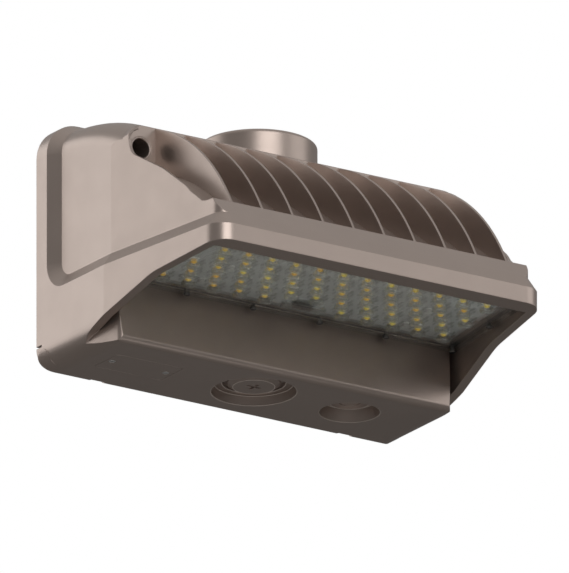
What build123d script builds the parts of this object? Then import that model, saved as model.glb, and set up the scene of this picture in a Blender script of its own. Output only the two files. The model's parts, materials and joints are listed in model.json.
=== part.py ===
from build123d import *
import math
import os

# Wall pack light: a hinged cast housing on a flat plate that is screwed to the wall.
# Millimetres.  X runs along the wall, the wall is the plane Y = 0, the light points
# towards -Y and +Z is up.  The origin is on the wall, at half width and half height.
# "Depth" is always the distance out from the wall, so a depth of 10 lies at Y = -10.
# Cutters run 1 mm past the faces that they open.

os.makedirs("parts", exist_ok=True)

# ---------------------------------------------------------------- housing outline
REAR_WIDTH = 320.0          # straight part of the sides, at the wall
HEIGHT = 194.4              # whole housing, bottom face to top of the rim
DEPTH = 223.9               # wall to the front of the lip
TAPER_START = 91.5          # depth where the sides begin to close in
FRONT_WIDTH = 289.0         # across the lip
WALL_GAP = 0.5              # housing rim to the wall
RIM_DEPTH = 14.5            # plain rim before the sloped band
RIM_TOP_RADIUS = 27.5
RIM_BOTTOM_RADIUS = 17.5
FRONT_CORNER_RADIUS = 16.0
BAND_INSET = 6.7            # how far the panels sit inside the rim and the lip
BAND_RUN = 10.4             # width of the sloped band
BAND_CORNER_RADIUS = 12.0   # inner radius of the band's rear lower corner
LIP_TOP = -39.3
LIP_HEIGHT = 13.2
WALL = 5.0                  # cast wall

# ---------------------------------------------------------------- heat sink
FOOT_SETBACK = 15.6         # front end of the fins, behind the front of the lip
FOOT_HEIGHT = -16.4
LEDGE = 11.1                # flat step behind that edge
FIN_WALL_DEPTH = 105.9      # upright wall that the fins end at
FIN_WALL_TOP = 71.0
BASE_TOP = 35.6             # sloping base where it meets that wall
BASE_RISE = 5.5             # how far the base stands up from its chord
FIN_RISE = 12.4             # the same for a fin's edge
TOP_RISE = 6.6              # and for the top
FIN_COUNT = 10
FIN_PITCH = 27.2
FIN_THICKNESS = 2.0
FIN_STEP = 0.5              # fin edge below the wall's edge, and behind the ledge's
PANEL_THICKNESS = 2.5       # side panel's edge, which stands above the sloping base
NOSE_REACH = 6.0            # its top corner beside the access hole, in front of the fin wall
NOSE_HEIGHT = 56.0
NOSE_FADE = 13.6            # how far in from the side that corner runs out
PANEL_NECK = (7.6, 44.5)    # hollow below the corner: distance in front of the fin wall, and height
PANEL_UPPER_BEND = (58.3, 22.9)     # bends of its slope: distance behind the fins' front end, and height
PANEL_LOWER_BEND = (30.3, 1.0)
PANEL_FOOT = (17.3, -14.0)
PANEL_RADII = (14.0, 60.0, 30.0, 6.0)

# ---------------------------------------------------------------- lower box and cheeks
CHEEK_WALL = 7.5
CHEEK_BEND = (147.0, 60.0)  # depth, and distance below the middle, of the edge's bend
CHEEK_DROP = (68.0, 86.5)
CHEEK_END_DEPTH = 51.0
CHEEK_BEND_RADIUS = 60.0
CHEEK_DROP_RADIUS = 25.0
BOX_DEPTH = 95.5            # lower front edge of the box
BOX_LEAN = 5.5              # the box face leans back by this towards the top
BOX_FRONT_WIDTH = 294.0
BOX_SIDE_END = 42.0         # depth where the box sides meet the outer walls
BOX_EDGE_RADIUS = 5.0
FLOOR = 4.5

# ---------------------------------------------------------------- hinge and wall plate
BARREL_RADIUS = 7.8
BARREL_END_PROUD = 0.8
HINGE_PIN_RADIUS = 2.5
HINGE_PIN_LENGTH = 32.0
HINGE_RUNNING_GAP = 0.05
PIN_END_GAP = 0.3
LUG_SPACING = 220.0
LUG_WIDTH = 12.0
LUG_SIDE_GAP = 0.4
LUG_EYE_RADIUS = 5.0
LUG_CLEARANCE = 0.7
SLIT_HEIGHT = 1.5
SLIT_LENGTH = 7.7
SLIT_ABOVE_HINGE = 10.6
PLATE_THICKNESS = 4.0
PLATE_RIM_DEPTH = 7.5
PLATE_RIM_WIDTH = 7.0
PLATE_CLEARANCE = 1.0
WALL_GASKET_INSET = 4.0
WALL_GASKET_WIDTH = 6.0
WALL_GASKET_DEPTH = 2.0
HOUSING_GASKET_DEPTH = 3.0
GASKET_CLEARANCE = 0.3
RING_WALL = 4.0
SEAL_WIDTH = 5.0
BOX_HOLE_SPACING = 88.9     # screw spacing of a wall box
BOX_HOLE_RADIUS = 2.75
CORNER_HOLE_SPACING_X = 240.0
CORNER_HOLE_SPACING_Z = 110.0
CORNER_HOLE_RADIUS = 3.5
CABLE_HOLE_RADIUS = 11.0
CABLE_HOLE_HEIGHT = 22.0
GROUND_SCREW_X = 62.0
GROUND_SCREW_Z = -30.0

# ---------------------------------------------------------------- closing screws
CLOSING_INSET = 24.0        # from the side
CLOSING_Z = 53.0
ACCESS_RADIUS = 7.4
SLEEVE_RADIUS = 9.0         # outside of the tube that guides the screwdriver
SLEEVE_CHAMFER = 0.6
SLEEVE_HOLD = 4.0           # how much of each end of the tube the housing holds
SLEEVE_BOSS_RADIUS = 11.5
SLEEVE_RIB = 8.0            # width of the rib between boss and side wall
SCREW_SEAT_DEPTH = 24.0
CLOSING_SHANK_RADIUS = 2.5
SHANK_GAP = 0.3
CLOSING_HEAD_RADIUS = 5.2
CLOSING_HEAD_HEIGHT = 4.5
CLOSING_REACH = 5.5         # how far the screw enters the plate's boss
CLOSING_BOSS_RADIUS = 6.0
CLOSING_BOSS_DEPTH = 9.0
SCREW_FREE_GAP = 0.4
RETAINER_RADIUS = 4.6
RETAINER_THICKNESS = 1.0
RETAINER_GAP = 0.2

# ---------------------------------------------------------------- light engine
PAD_UNDERSIDE = -43.4       # face that carries the LED board
PAD_THICKNESS = 5.0
LIP_THICKNESS = 14.9        # front of the lip to the lens pocket
LENS_FACE = -49.2
LENS_TOP = -45.3
LENS_POCKET = 1.3
LENS_CLEARANCE = 0.4
BOARD_THICKNESS = 1.6
BOARD_BORDER = 14.0         # lens edge to board edge
BOARD_SCREW_HEAD_HEIGHT = 1.2
PAD_SKIN = 2.0              # metal left under a blind hole in the pad
LENS_SEAL_OFFSET = 4.0
LENS_SEAL_WIDTH = 5.0
ROW_COUNT = 5
ROW_SPACING = 17.9
FIRST_ROW_SETBACK = 19.0    # first row behind the front edge of the lens pocket
LEDS_ACROSS = 12            # in the odd rows, one less in the rows between
LED_SIDE_INSET = 31.9       # outermost LED of an odd row to the housing's side
CHIP_SIZE = 5.0
CHIP_HEIGHT = 0.7
DOME_RADIUS = 2.2
DOME_HEIGHT = 0.3
LENSLET_LENGTH = 10.4       # along X
LENSLET_WIDTH = 8.2
LENSLET_HEIGHT = 4.0
LENSLET_TAPER = 10.0
LENSLET_CORNER = 2.0
LENS_SCREW_RADIUS = 1.5
LENS_SCREW_HEAD = 2.6
LENS_SCREW_HEAD_HEIGHT = 1.6
LENS_SCREW_GAP = 0.3
LENS_SCREW_INSET = 4.3      # screws to the edge of the lens pocket
LENS_CORNER_INSET = 7.0     # the same to the cheeks, at the two front corners
LENS_SCREWS_ACROSS = 6
LENS_SIDE_SCREW_SHIFT = 6.3 # side screws ahead of the middle
CONNECTOR_SIZE = (16.0, 7.0, 3.6)
CONNECTOR_COVER = (36.0, 12.0, 2.6)
CONNECTOR_COVER_WALL = 1.5
LEAD_RADIUS = 1.5
LEAD_HOLE_RADIUS = 3.5
SUPPLY_LEAD_INSET = 8.0     # lead to the driver's front edge
SUPPLY_LEAD_SHIFT = 12.0    # its bend, to the right of the middle between driver and terminals

# ---------------------------------------------------------------- electrical pieces inside
DRIVER_SIZE = (104.0, 56.0, 30.0)
DRIVER_X = -70.0
DRIVER_DEPTH = 132.0
DRIVER_FOOT_LENGTH = 8.0
DRIVER_FOOT_HEIGHT = 2.0
DRIVER_EDGE_RADIUS = 2.0
STANDOFF = 4.0
TERMINAL_SIZE = (48.0, 20.0, 16.0)
TERMINAL_X = 66.0
TERMINAL_DEPTH = 112.0
TERMINAL_POLES = 5
TERMINAL_EAR = (7.0, 4.0)   # length and height of the ear at each end
WIRE_ENTRY_HEIGHT = 6.0
WIRE_ENTRY_DEPTH = 5.0
SURGE_SIZE = (56.0, 32.0, 22.0)
SURGE_X = 88.0
SURGE_DEPTH = 152.0
SURGE_EAR = (8.0, 10.0, 2.0)
SURGE_CORNER = 3.0
SMALL_SCREW_RADIUS = 1.5
SMALL_SCREW_HEAD = 2.9
SMALL_HEAD_HEIGHT = 1.8

# ---------------------------------------------------------------- round ports in the floor
PORT_DEPTH = 51.5
MAIN_PORT_MOUTH = 32.5
MAIN_PORT_SEAT = 30.5
MAIN_PORT_STEP = 7.4
MAIN_PORT_INNER = 24.3
MAIN_PORT_INNER_STEP = 9.4
MAIN_BOSS_RADIUS = 38.0
MAIN_COLLAR_RADIUS = 32.0
MAIN_COLLAR_TOP = 14.0      # above the bottom face
MAIN_THREAD_RADIUS = 13.5
MAIN_PLUG_RADIUS = 20.0
MAIN_PLUG_FACE = 15.5
MAIN_PLUG_HEIGHT = 4.6
MAIN_PLUG_SLOPE = 2.6       # height of its sloping edge
CROSS_SLOT_LENGTH = 12.0
CROSS_SLOT_WIDTH = 2.4
CROSS_SLOT_DEPTH = 1.4
SIDE_PORT_X = 85.2
SIDE_PORT_MOUTH = 23.2
SIDE_PORT_SEAT = 20.0
SIDE_PORT_STEP = 10.4
SIDE_BOSS_RADIUS = 28.0
SIDE_COLLAR_RADIUS = 26.0
SIDE_COLLAR_TOP = 14.4
SIDE_THREAD_RADIUS = 9.5
SIDE_PLUG_RADIUS = 15.0
SIDE_PLUG_HEIGHT = 1.6
SIDE_PLUG_GROOVE = (8.25, 6.3, 0.8)
SEAL_RING = 1.0             # thickness of the seal under each plug
SEAL_RING_WIDTH = 4.0
PLUG_REACH = 8.0            # thread standing above the boss, for the nut
NUT_HEIGHT = 5.0
NUT_WALL = 5.0

# ---------------------------------------------------------------- switch cover and switches
SWITCH_X = -102.0
SWITCH_DEPTH = 51.0
COVER_LENGTH = 58.0
COVER_WIDTH = 31.5
COVER_THICKNESS = 2.0
COVER_GASKET = 1.0
COVER_GAP = 0.35
COVER_CORNER = 2.5
COVER_SCREW_SPACING = 47.6
COVER_SCREW_RADIUS = 1.5
COVER_SCREW_HEAD = 2.9
COVER_SCREW_HEAD_HEIGHT = 1.4
COVER_SCREW_LENGTH = 7.5
WINDOW_LENGTH = 34.0
WINDOW_WIDTH = 18.0
WINDOW_CORNER = 2.0
SWITCH_BOSS_HEIGHT = 9.5
SWITCH_BOARD = (50.0, 26.0, 1.6)
SWITCH_BODY = (13.0, 6.5, 5.0)
SWITCH_SPACING = 16.0
SWITCH_SCREW_INSET = 3.0
SWITCH_SCREW_GRIP = 4.0
SWITCH_SLOT_ROOF = 1.5      # switch body left above the knob's slot
KNOB_SIZE = (2.6, 3.0, 5.0)
KNOB_TRAVEL = 2.5           # to either side
KNOB_GAP = 0.3
KNOB_EDGE_RADIUS = 0.4

# ---------------------------------------------------------------- photocontrol socket and cap
CAP_DEPTH = 56.8
CAP_RADIUS = 44.5
CAP_TOP = 94.1
CAP_WALL = 2.6
CAP_EDGE_RADIUS = 3.0
CAP_SIDE_GAP = 0.6
SEAT_HEIGHT = 72.0          # flat round seat cut into the sloping top
SEAT_THICKNESS = 6.0
CAP_SEAT_GAP = 0.4
SOCKET_RADIUS = 24.0
SOCKET_FLANGE_RADIUS = 33.0
SOCKET_FLANGE = 4.0
SOCKET_GASKET = 1.5
SOCKET_REACH = 20.0
SOCKET_SCREW_CIRCLE = 28.5
CONTACT_CIRCLE = 15.0
CONTACT_SLOT_WIDTH = 4.0
CONTACT_SLOT_DEPTH = 10.0
CONTACT_SLOT_SLACK = 6.0    # degrees
SOCKET_GAP = 0.5
BLADE_COUNT = 3
BLADE_THICKNESS = 1.6
BLADE_ARC = 26.0            # degrees
BLADE_LENGTH = 8.0
CAP_TURN = 30.0             # degrees between locked and free
CAP_BASE = 2.4
CAP_ROOF = 3.6
SOCKET_LEAD_X = 10.0

# ---------------------------------------------------------------- places worked out from these
HALF_HEIGHT = HEIGHT / 2
BOTTOM = -HALF_HEIGHT
FOOT_DEPTH = DEPTH - FOOT_SETBACK
LENS_FRONT_DEPTH = DEPTH - LIP_THICKNESS
ROW_DEPTHS = [LENS_FRONT_DEPTH - FIRST_ROW_SETBACK - row * ROW_SPACING for row in range(ROW_COUNT)]
CLOSING_X = REAR_WIDTH / 2 - CLOSING_INSET
TAPER = (REAR_WIDTH - FRONT_WIDTH) / 2 / (DEPTH - TAPER_START)
LIP_BOTTOM = LIP_TOP - LIP_HEIGHT
BAND_TOP = LIP_TOP + BAND_RUN
PANEL_DEPTH = DEPTH - BAND_INSET
LEDGE_DEPTH = FOOT_DEPTH - LEDGE
TOP_AT_RIM = HALF_HEIGHT - BAND_INSET
HINGE_DEPTH = WALL_GAP + BARREL_RADIUS
HINGE_Z = BOTTOM + BARREL_RADIUS
RECESS_BOTTOM = HINGE_Z + BARREL_RADIUS
RECESS_DEPTH = PLATE_RIM_DEPTH + HOUSING_GASKET_DEPTH + GASKET_CLEARANCE
CAVITY_DEPTH = RECESS_DEPTH + RING_WALL
CAVITY_INSET = BAND_INSET + WALL
OPENING_INSET = CAVITY_INSET + SEAL_WIDTH + GASKET_CLEARANCE
PAD_TOP = PAD_UNDERSIDE + PAD_THICKNESS
FLOOR_TOP = BOTTOM + FLOOR
BOARD_UNDERSIDE = PAD_UNDERSIDE - BOARD_THICKNESS
MAIN_MOUTH_TOP = BOTTOM + MAIN_PORT_STEP
MAIN_SEAT_Z = BOTTOM + MAIN_PORT_INNER_STEP
MAIN_NUT_Z = BOTTOM + MAIN_COLLAR_TOP
SIDE_SEAT_Z = BOTTOM + SIDE_PORT_STEP
SIDE_NUT_Z = BOTTOM + SIDE_COLLAR_TOP
SWITCH_BOSS_TOP = BOTTOM + SWITCH_BOSS_HEIGHT
COVER_SEAT_Z = BOTTOM + COVER_THICKNESS + COVER_GASKET
REACH = 2 * DEPTH           # longer than anything that a cutter has to pass through


# ================================================================ shared shapes
def block(x_range, depth_range, z_range):
    """Box between two X planes, two depths and two heights."""
    size = [abs(high - low) for low, high in (x_range, depth_range, z_range)]
    middle = [(low + high) / 2 for low, high in (x_range, depth_range, z_range)]
    return Pos(middle[0], -middle[1], middle[2]) * Box(*size)


def upright(x, depth, radius, low, high):
    """Round bar along Z."""
    return Pos(x, -depth, (low + high) / 2) * Cylinder(radius, high - low)


def upright_cone(x, depth, low, low_radius, high, high_radius):
    """Cone along Z."""
    return Pos(x, -depth, (low + high) / 2) * Cone(low_radius, high_radius, high - low)


def outward(x, z, radius, near, far):
    """Round bar along Y, from one depth to another."""
    return Pos(x, -(near + far) / 2, z) * Rot(90, 0, 0) * Cylinder(radius, far - near)


def sideways(depth, z, radius, left, right):
    """Round bar along X."""
    return Pos((left + right) / 2, -depth, z) * Rot(0, 90, 0) * Cylinder(radius, right - left)


def side_prism(edges, left, right):
    """Solid with a (depth, height) outline, between two X planes."""
    plane = Plane(origin=(right, 0, 0), x_dir=(0, -1, 0), z_dir=(-1, 0, 0))
    return extrude(plane * make_face(edges), amount=right - left)


def plan_prism(outline, low, high):
    """Solid with an (X, Y) outline, between two heights."""
    return extrude(Pos(0, 0, low) * outline, amount=high - low)


def rim_prism(outline, near, far):
    """Solid with an (X, Z) outline, between two depths."""
    return extrude(Plane.XZ.offset(near) * outline, amount=far - near)


def side_at(depth, inset=0.0):
    """Half width of the housing at a depth, drawn in by an inset."""
    slant = math.hypot(1, TAPER)
    straight = REAR_WIDTH / 2 - inset
    closing = REAR_WIDTH / 2 - TAPER * (depth - TAPER_START) - inset * slant
    return min(straight, closing)


def plan_outline(inset):
    """The housing seen from above, drawn in by an inset, with rounded front corners."""
    front = DEPTH - inset
    half = REAR_WIDTH / 2 - inset
    nose = side_at(front, inset)
    bend = TAPER_START
    corners = [(-half, 0), (-half, -bend), (-nose, -front), (nose, -front), (half, -bend), (half, 0)]
    face = make_face(Polyline(*corners, close=True))
    return fillet(face.vertices().sort_by(Axis.Y)[:2], max(FRONT_CORNER_RADIUS - inset, 2.0))


def rounded_outline(half_width, low, high, low_radius, high_radius):
    """Upright rectangle with its own radius at the two lower and the two upper corners."""
    corners = [(-half_width, low), (half_width, low), (half_width, high), (-half_width, high)]
    face = make_face(Polyline(*corners, close=True))
    face = fillet(face.vertices().sort_by(Axis.Y)[:2], low_radius)
    return fillet(face.vertices().sort_by(Axis.Y)[-2:], high_radius)


def rim_outline(inset):
    """The housing seen from the front at its rim, drawn in by an inset or grown by a negative one."""
    return rounded_outline(REAR_WIDTH / 2 - inset, BOTTOM + max(inset, 0), HALF_HEIGHT - inset,
                           RIM_BOTTOM_RADIUS - inset, RIM_TOP_RADIUS - inset)


def trapezoid(near, far, inset):
    """Plan outline between two depths that follows the housing's sides at an inset."""
    depths = [near, TAPER_START, far] if near < TAPER_START else [near, far]
    right = [(side_at(depth, inset), -depth) for depth in depths]
    left = [(-x, y) for x, y in reversed(right)]
    return make_face(Polyline(*right, *left, close=True))


def tube(points, radius):
    """A lead along straight runs joined by arcs, each as large as its two runs allow."""
    runs = [(Vector(*b) - Vector(*a)) for a, b in zip(points, points[1:])]
    radii = []
    for before, after in zip(runs, runs[1:]):
        turn = math.radians(before.get_angle(after))
        radii.append(0.45 * min(before.length, after.length) / math.tan(turn / 2))
    print("lead radii", [round(r, 1) for r in radii])
    path = FilletPolyline(*points, radius=radii)
    start = Plane(origin=points[0], z_dir=runs[0])
    return sweep(start * Circle(radius), path=path)


def screw(x, depth, z, shank_radius, length, head_radius, head_height, up=True):
    """Round-headed screw with a cross slot, its head under z when it points up, over z when down."""
    slot = head_height * 0.6
    body = Cylinder(shank_radius, length, align=(Align.CENTER, Align.CENTER, Align.MIN))
    head = Cylinder(head_radius, head_height, align=(Align.CENTER, Align.CENTER, Align.MAX))
    head = chamfer(head.edges().sort_by(Axis.Z)[:1], head_height * 0.3)
    cut = Pos(0, 0, -head_height) * (Box(head_radius * 1.2, head_height * 0.35, 2 * slot)
                                     + Box(head_height * 0.35, head_radius * 1.2, 2 * slot))
    whole = body + head - cut
    if not up:
        whole = Rot(180, 0, 0) * whole
    return Pos(x, -depth, z) * whole


def ring(x, depth, outer, inner, low, high):
    """Flat ring with an upright axis."""
    return upright(x, depth, outer, low, high) - upright(x, depth, inner, low - 1, high + 1)


def hexagon_nut(x, depth, bore, low, height):
    """Six-sided nut with an upright axis."""
    outline = RegularPolygon(bore + NUT_WALL, 6, major_radius=False)
    nut = plan_prism(Pos(x, -depth) * outline, low, low + height)
    return nut - upright(x, depth, bore, low - 1, low + height + 1)


# ================================================================ curved profiles
def bulged_arc(start, end, rise):
    """Arc between two points, whose middle stands up from their chord by rise."""
    run, climb = end[0] - start[0], end[1] - start[1]
    chord = math.hypot(run, climb)
    middle = ((start[0] + end[0]) / 2 - rise * climb / chord, (start[1] + end[1]) / 2 + rise * run / chord)
    return ThreePointArc(start, middle, end)


def top_arc(drop):
    """Curved top from the rim to the fin wall, lowered by drop."""
    return bulged_arc((0, TOP_AT_RIM - drop), (FIN_WALL_DEPTH, FIN_WALL_TOP - drop), TOP_RISE)


def base_arc(drop):
    """Sloping base between the fins, lowered by drop."""
    return bulged_arc((FIN_WALL_DEPTH, BASE_TOP - drop), (LEDGE_DEPTH, FOOT_HEIGHT - drop), BASE_RISE)


def upper_rear():
    """Body behind the fin wall: curved top, rounded over at the sides."""
    low = LIP_TOP
    outline = [top_arc(0), Line((FIN_WALL_DEPTH, FIN_WALL_TOP), (FIN_WALL_DEPTH, low)),
               Line((FIN_WALL_DEPTH, low), (0, low)), Line((0, low), (0, TOP_AT_RIM))]
    half = REAR_WIDTH / 2 - BAND_INSET
    solid = side_prism(outline, -half, half)
    arcs = solid.edges().filter_by(GeomType.CIRCLE)
    solid = fillet(arcs, RIM_TOP_RADIUS - BAND_INSET)
    behind = block((-half, half), (WALL_GAP, DEPTH), (low, HEIGHT))
    return solid & behind & plan_prism(plan_outline(BAND_INSET), low, HEIGHT)


def upper_front():
    """Sloping base of the heat sink and the face that comes down to the sloped band."""
    low = LIP_TOP
    near = FIN_WALL_DEPTH - WALL
    outline = [Line((near, low), (near, BASE_TOP)), Line((near, BASE_TOP), (FIN_WALL_DEPTH, BASE_TOP)),
               base_arc(0), Line((LEDGE_DEPTH, FOOT_HEIGHT), (FOOT_DEPTH, FOOT_HEIGHT)),
               Line((FOOT_DEPTH, FOOT_HEIGHT), (PANEL_DEPTH, BAND_TOP)),
               Line((PANEL_DEPTH, BAND_TOP), (PANEL_DEPTH, low)), Line((PANEL_DEPTH, low), (near, low))]
    half = REAR_WIDTH / 2 - BAND_INSET
    return side_prism(outline, -half, half) & plan_prism(plan_outline(BAND_INSET), low, HEIGHT)


def side_panels():
    """Both side panels, with the edge that curves down past the fins."""
    low = LIP_TOP
    bends = [(FOOT_DEPTH - setback, height) for setback, height in (PANEL_UPPER_BEND, PANEL_LOWER_BEND, PANEL_FOOT)]
    corners = [(FIN_WALL_DEPTH + NOSE_REACH, NOSE_HEIGHT), (FIN_WALL_DEPTH + PANEL_NECK[0], PANEL_NECK[1]),
               *bends, (FOOT_DEPTH, FOOT_HEIGHT - 2)]
    rest = [corners[-1], (PANEL_DEPTH, BAND_TOP), (PANEL_DEPTH, low), (FIN_WALL_DEPTH - WALL, low),
            (FIN_WALL_DEPTH - WALL, NOSE_HEIGHT), corners[0]]
    half = REAR_WIDTH / 2
    profile = side_prism([FilletPolyline(*corners, radius=list(PANEL_RADII)), Polyline(*rest)], -half, half)
    shell = plan_prism(plan_outline(BAND_INSET), low, HEIGHT)
    core = plan_prism(plan_outline(BAND_INSET + PANEL_THICKNESS), low - 1, HEIGHT + 1)
    rear = block((-half, half), (0, TAPER_START), (low - 1, HEIGHT + 1))
    return (profile & (shell - core - rear)) + side_noses()


def side_noses():
    """Thin rounded hood over each access hole, which runs out towards the middle."""
    half = side_at(FIN_WALL_DEPTH, BAND_INSET)
    near, far = FIN_WALL_DEPTH - 1, FIN_WALL_DEPTH + NOSE_REACH
    shells = []
    for inset in (0, PANEL_THICKNESS):
        outline = rounded_outline(REAR_WIDTH / 2 - BAND_INSET - inset, LIP_TOP, FIN_WALL_TOP - inset, WALL,
                                  RIM_TOP_RADIUS - BAND_INSET - inset)
        between = block((inset - half, half - inset), (near, far), (LIP_TOP, HEIGHT))
        shells.append(rim_prism(outline, near, far) & between)
    hood = shells[0] - shells[1]
    reach = FIN_WALL_DEPTH + NOSE_REACH * (REAR_WIDTH / 2 - half + NOSE_FADE) / NOSE_FADE
    made = []
    for side in (-1, 1):
        plan = [(side * (half - NOSE_FADE), -near), (side * (half - NOSE_FADE), -FIN_WALL_DEPTH),
                (side * REAR_WIDTH / 2, -reach), (side * REAR_WIDTH / 2, -near)]
        made.append(hood & plan_prism(make_face(Polyline(*plan, close=True)), NOSE_HEIGHT - 1, HEIGHT)
                    & plan_prism(plan_outline(BAND_INSET), LIP_TOP, HEIGHT))
    return made


def fins():
    """Curved fins, pieces of their own that stand on the sloping base and against the wall behind it."""
    top = FIN_WALL_TOP - FIN_STEP
    foot = FOOT_DEPTH - FIN_STEP
    outline = [bulged_arc((FIN_WALL_DEPTH, top), (foot, FOOT_HEIGHT), FIN_RISE),
               Line((foot, FOOT_HEIGHT), (LEDGE_DEPTH, FOOT_HEIGHT)), base_arc(0),
               Line((FIN_WALL_DEPTH, BASE_TOP), (FIN_WALL_DEPTH, top))]
    made = []
    for index in range(FIN_COUNT):
        x = (index - (FIN_COUNT - 1) / 2) * FIN_PITCH
        made.append(side_prism(outline, x - FIN_THICKNESS / 2, x + FIN_THICKNESS / 2))
    return made


def band_corners():
    """Rounded inner corner where the rim's band turns into the lip's band, both sides."""
    centre_depth = RIM_DEPTH + BAND_RUN + BAND_CORNER_RADIUS
    centre_z = BAND_TOP + BAND_CORNER_RADIUS
    made = []
    for side in (-1, 1):
        inner = REAR_WIDTH / 2 - BAND_INSET
        fill = block(sorted((side * (inner - 1), side * REAR_WIDTH / 2)),
                     (RIM_DEPTH - 1, centre_depth), (LIP_TOP - 1, centre_z))
        bowl = Pos(side * (inner + BAND_INSET / 2), -centre_depth, centre_z) * Rot(0, 90 * side, 0)
        bowl = bowl * Cone(BAND_CORNER_RADIUS, BAND_CORNER_RADIUS + BAND_RUN, BAND_INSET)
        hollow = sideways(centre_depth, centre_z, BAND_CORNER_RADIUS, *sorted((side * (inner - 2), side * inner)))
        made.append(fill - bowl - hollow)
    return made


def lower_body():
    """Lip and cheeks as one block, with the cheeks' curved lower edge."""
    edge = FilletPolyline((DEPTH, LIP_BOTTOM), (CHEEK_BEND[0], -CHEEK_BEND[1]),
                          (CHEEK_DROP[0], -CHEEK_DROP[1]), (CHEEK_END_DEPTH, BOTTOM),
                          radius=[CHEEK_BEND_RADIUS, CHEEK_DROP_RADIUS])
    outline = [edge, Line((CHEEK_END_DEPTH, BOTTOM), (WALL_GAP, BOTTOM)),
               Line((WALL_GAP, BOTTOM), (WALL_GAP, LIP_TOP)), Line((WALL_GAP, LIP_TOP), (DEPTH, LIP_TOP)),
               Line((DEPTH, LIP_TOP), (DEPTH, LIP_BOTTOM))]
    half = REAR_WIDTH / 2
    body = side_prism(outline, -half, half) & plan_prism(plan_outline(0), BOTTOM, LIP_TOP)
    return body & rim_prism(rim_outline(0), 0, DEPTH)


def lower_box_outline(inset):
    """The lower box seen from above."""
    front = BOX_DEPTH - inset
    rear = REAR_WIDTH / 2 - inset
    nose = BOX_FRONT_WIDTH / 2 - inset
    points = [(-rear, 0), (-rear, -BOX_SIDE_END), (-nose, -front), (nose, -front),
              (rear, -BOX_SIDE_END), (rear, 0)]
    return make_face(Polyline(*points, close=True))


def lower_box():
    """Box under the rear half, with a leaning front and a rounded lower front edge."""
    outline = lower_box_outline(0)
    outline = fillet(outline.vertices().sort_by(Axis.Y)[:2], BOX_EDGE_RADIUS)
    body = plan_prism(outline, BOTTOM, LIP_TOP)
    lean = BOX_DEPTH - BOX_LEAN
    face = FilletPolyline((lean, LIP_TOP), (BOX_DEPTH, BOTTOM), (WALL_GAP, BOTTOM), radius=BOX_EDGE_RADIUS)
    profile = [face, Line((WALL_GAP, BOTTOM), (WALL_GAP, LIP_TOP)), Line((WALL_GAP, LIP_TOP), (lean, LIP_TOP))]
    half = REAR_WIDTH / 2
    return body & side_prism(profile, -half, half) & rim_prism(rim_outline(0), 0, DEPTH)


def recess_under_lens():
    """Everything below the LED pad between the cheeks and behind the lip."""
    near = CHEEK_END_DEPTH + 4
    return plan_prism(trapezoid(near, LENS_FRONT_DEPTH, CHEEK_WALL), BOTTOM - 1, PAD_UNDERSIDE)


# ================================================================ the housing
def inner_space():
    """Hollow inside the housing, open to the rear."""
    half = REAR_WIDTH / 2
    near = CAVITY_DEPTH
    front = FIN_WALL_DEPTH - WALL
    drop = WALL + 1.0
    roof = top_arc(WALL)
    upper = [roof, Line((FIN_WALL_DEPTH, FIN_WALL_TOP - WALL), (FIN_WALL_DEPTH, PAD_TOP)),
             Line((FIN_WALL_DEPTH, PAD_TOP), (0, PAD_TOP)), Line((0, PAD_TOP), (0, TOP_AT_RIM - WALL))]
    upper = side_prism(upper, CAVITY_INSET - half, half - CAVITY_INSET)
    upper = fillet(upper.edges().filter_by(GeomType.CIRCLE), RIM_TOP_RADIUS - CAVITY_INSET)
    upper = upper & block((-half, half), (near, front), (-HEIGHT, HEIGHT))
    forward = [Line((front - 1, PAD_TOP), (front - 1, BASE_TOP - drop)),
               Line((front - 1, BASE_TOP - drop), (FIN_WALL_DEPTH, BASE_TOP - drop)), base_arc(drop),
               Line((LEDGE_DEPTH, FOOT_HEIGHT - drop), (LEDGE_DEPTH, PAD_TOP)),
               Line((LEDGE_DEPTH, PAD_TOP), (front - 1, PAD_TOP))]
    forward = side_prism(forward, -half, half)
    above = (upper + forward) & plan_prism(plan_outline(CAVITY_INSET), PAD_TOP, HEIGHT)
    lean = BOX_DEPTH - BOX_LEAN - WALL
    box_profile = [(near, FLOOR_TOP), (BOX_DEPTH - WALL, FLOOR_TOP), (lean, PAD_TOP + 1), (near, PAD_TOP + 1)]
    below = side_prism(Polyline(*box_profile, close=True), -half, half)
    below = below & plan_prism(lower_box_outline(CAVITY_INSET), FLOOR_TOP, PAD_TOP + 1)
    return above + below


def plate_outline(clearance, bottom_clearance):
    """The wall plate seen from the front, smaller than its recess by a clearance."""
    return rounded_outline(REAR_WIDTH / 2 - CAVITY_INSET - clearance, RECESS_BOTTOM + bottom_clearance,
                           HALF_HEIGHT - CAVITY_INSET - clearance, WALL, RIM_TOP_RADIUS - CAVITY_INSET)


def rear_recess():
    """Room for the wall plate, and the opening in front of it."""
    room = rim_prism(plate_outline(0, 0), -1, RECESS_DEPTH)
    edge = SEAL_WIDTH + GASKET_CLEARANCE
    opening = rounded_outline(REAR_WIDTH / 2 - OPENING_INSET, RECESS_BOTTOM + edge,
                              HALF_HEIGHT - OPENING_INSET, WALL, RIM_TOP_RADIUS - CAVITY_INSET)
    return room + rim_prism(opening, 0, CAVITY_DEPTH + 1)


def swing_relief():
    """Room above the barrel for the wall plate's lower edge, while the housing swings."""
    half = REAR_WIDTH / 2 - CAVITY_INSET
    corner = block((-half, half), (-1, HINGE_DEPTH), (HINGE_Z, RECESS_BOTTOM + WALL))
    return corner - sideways(HINGE_DEPTH, HINGE_Z, BARREL_RADIUS, -REAR_WIDTH, REAR_WIDTH)


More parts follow.
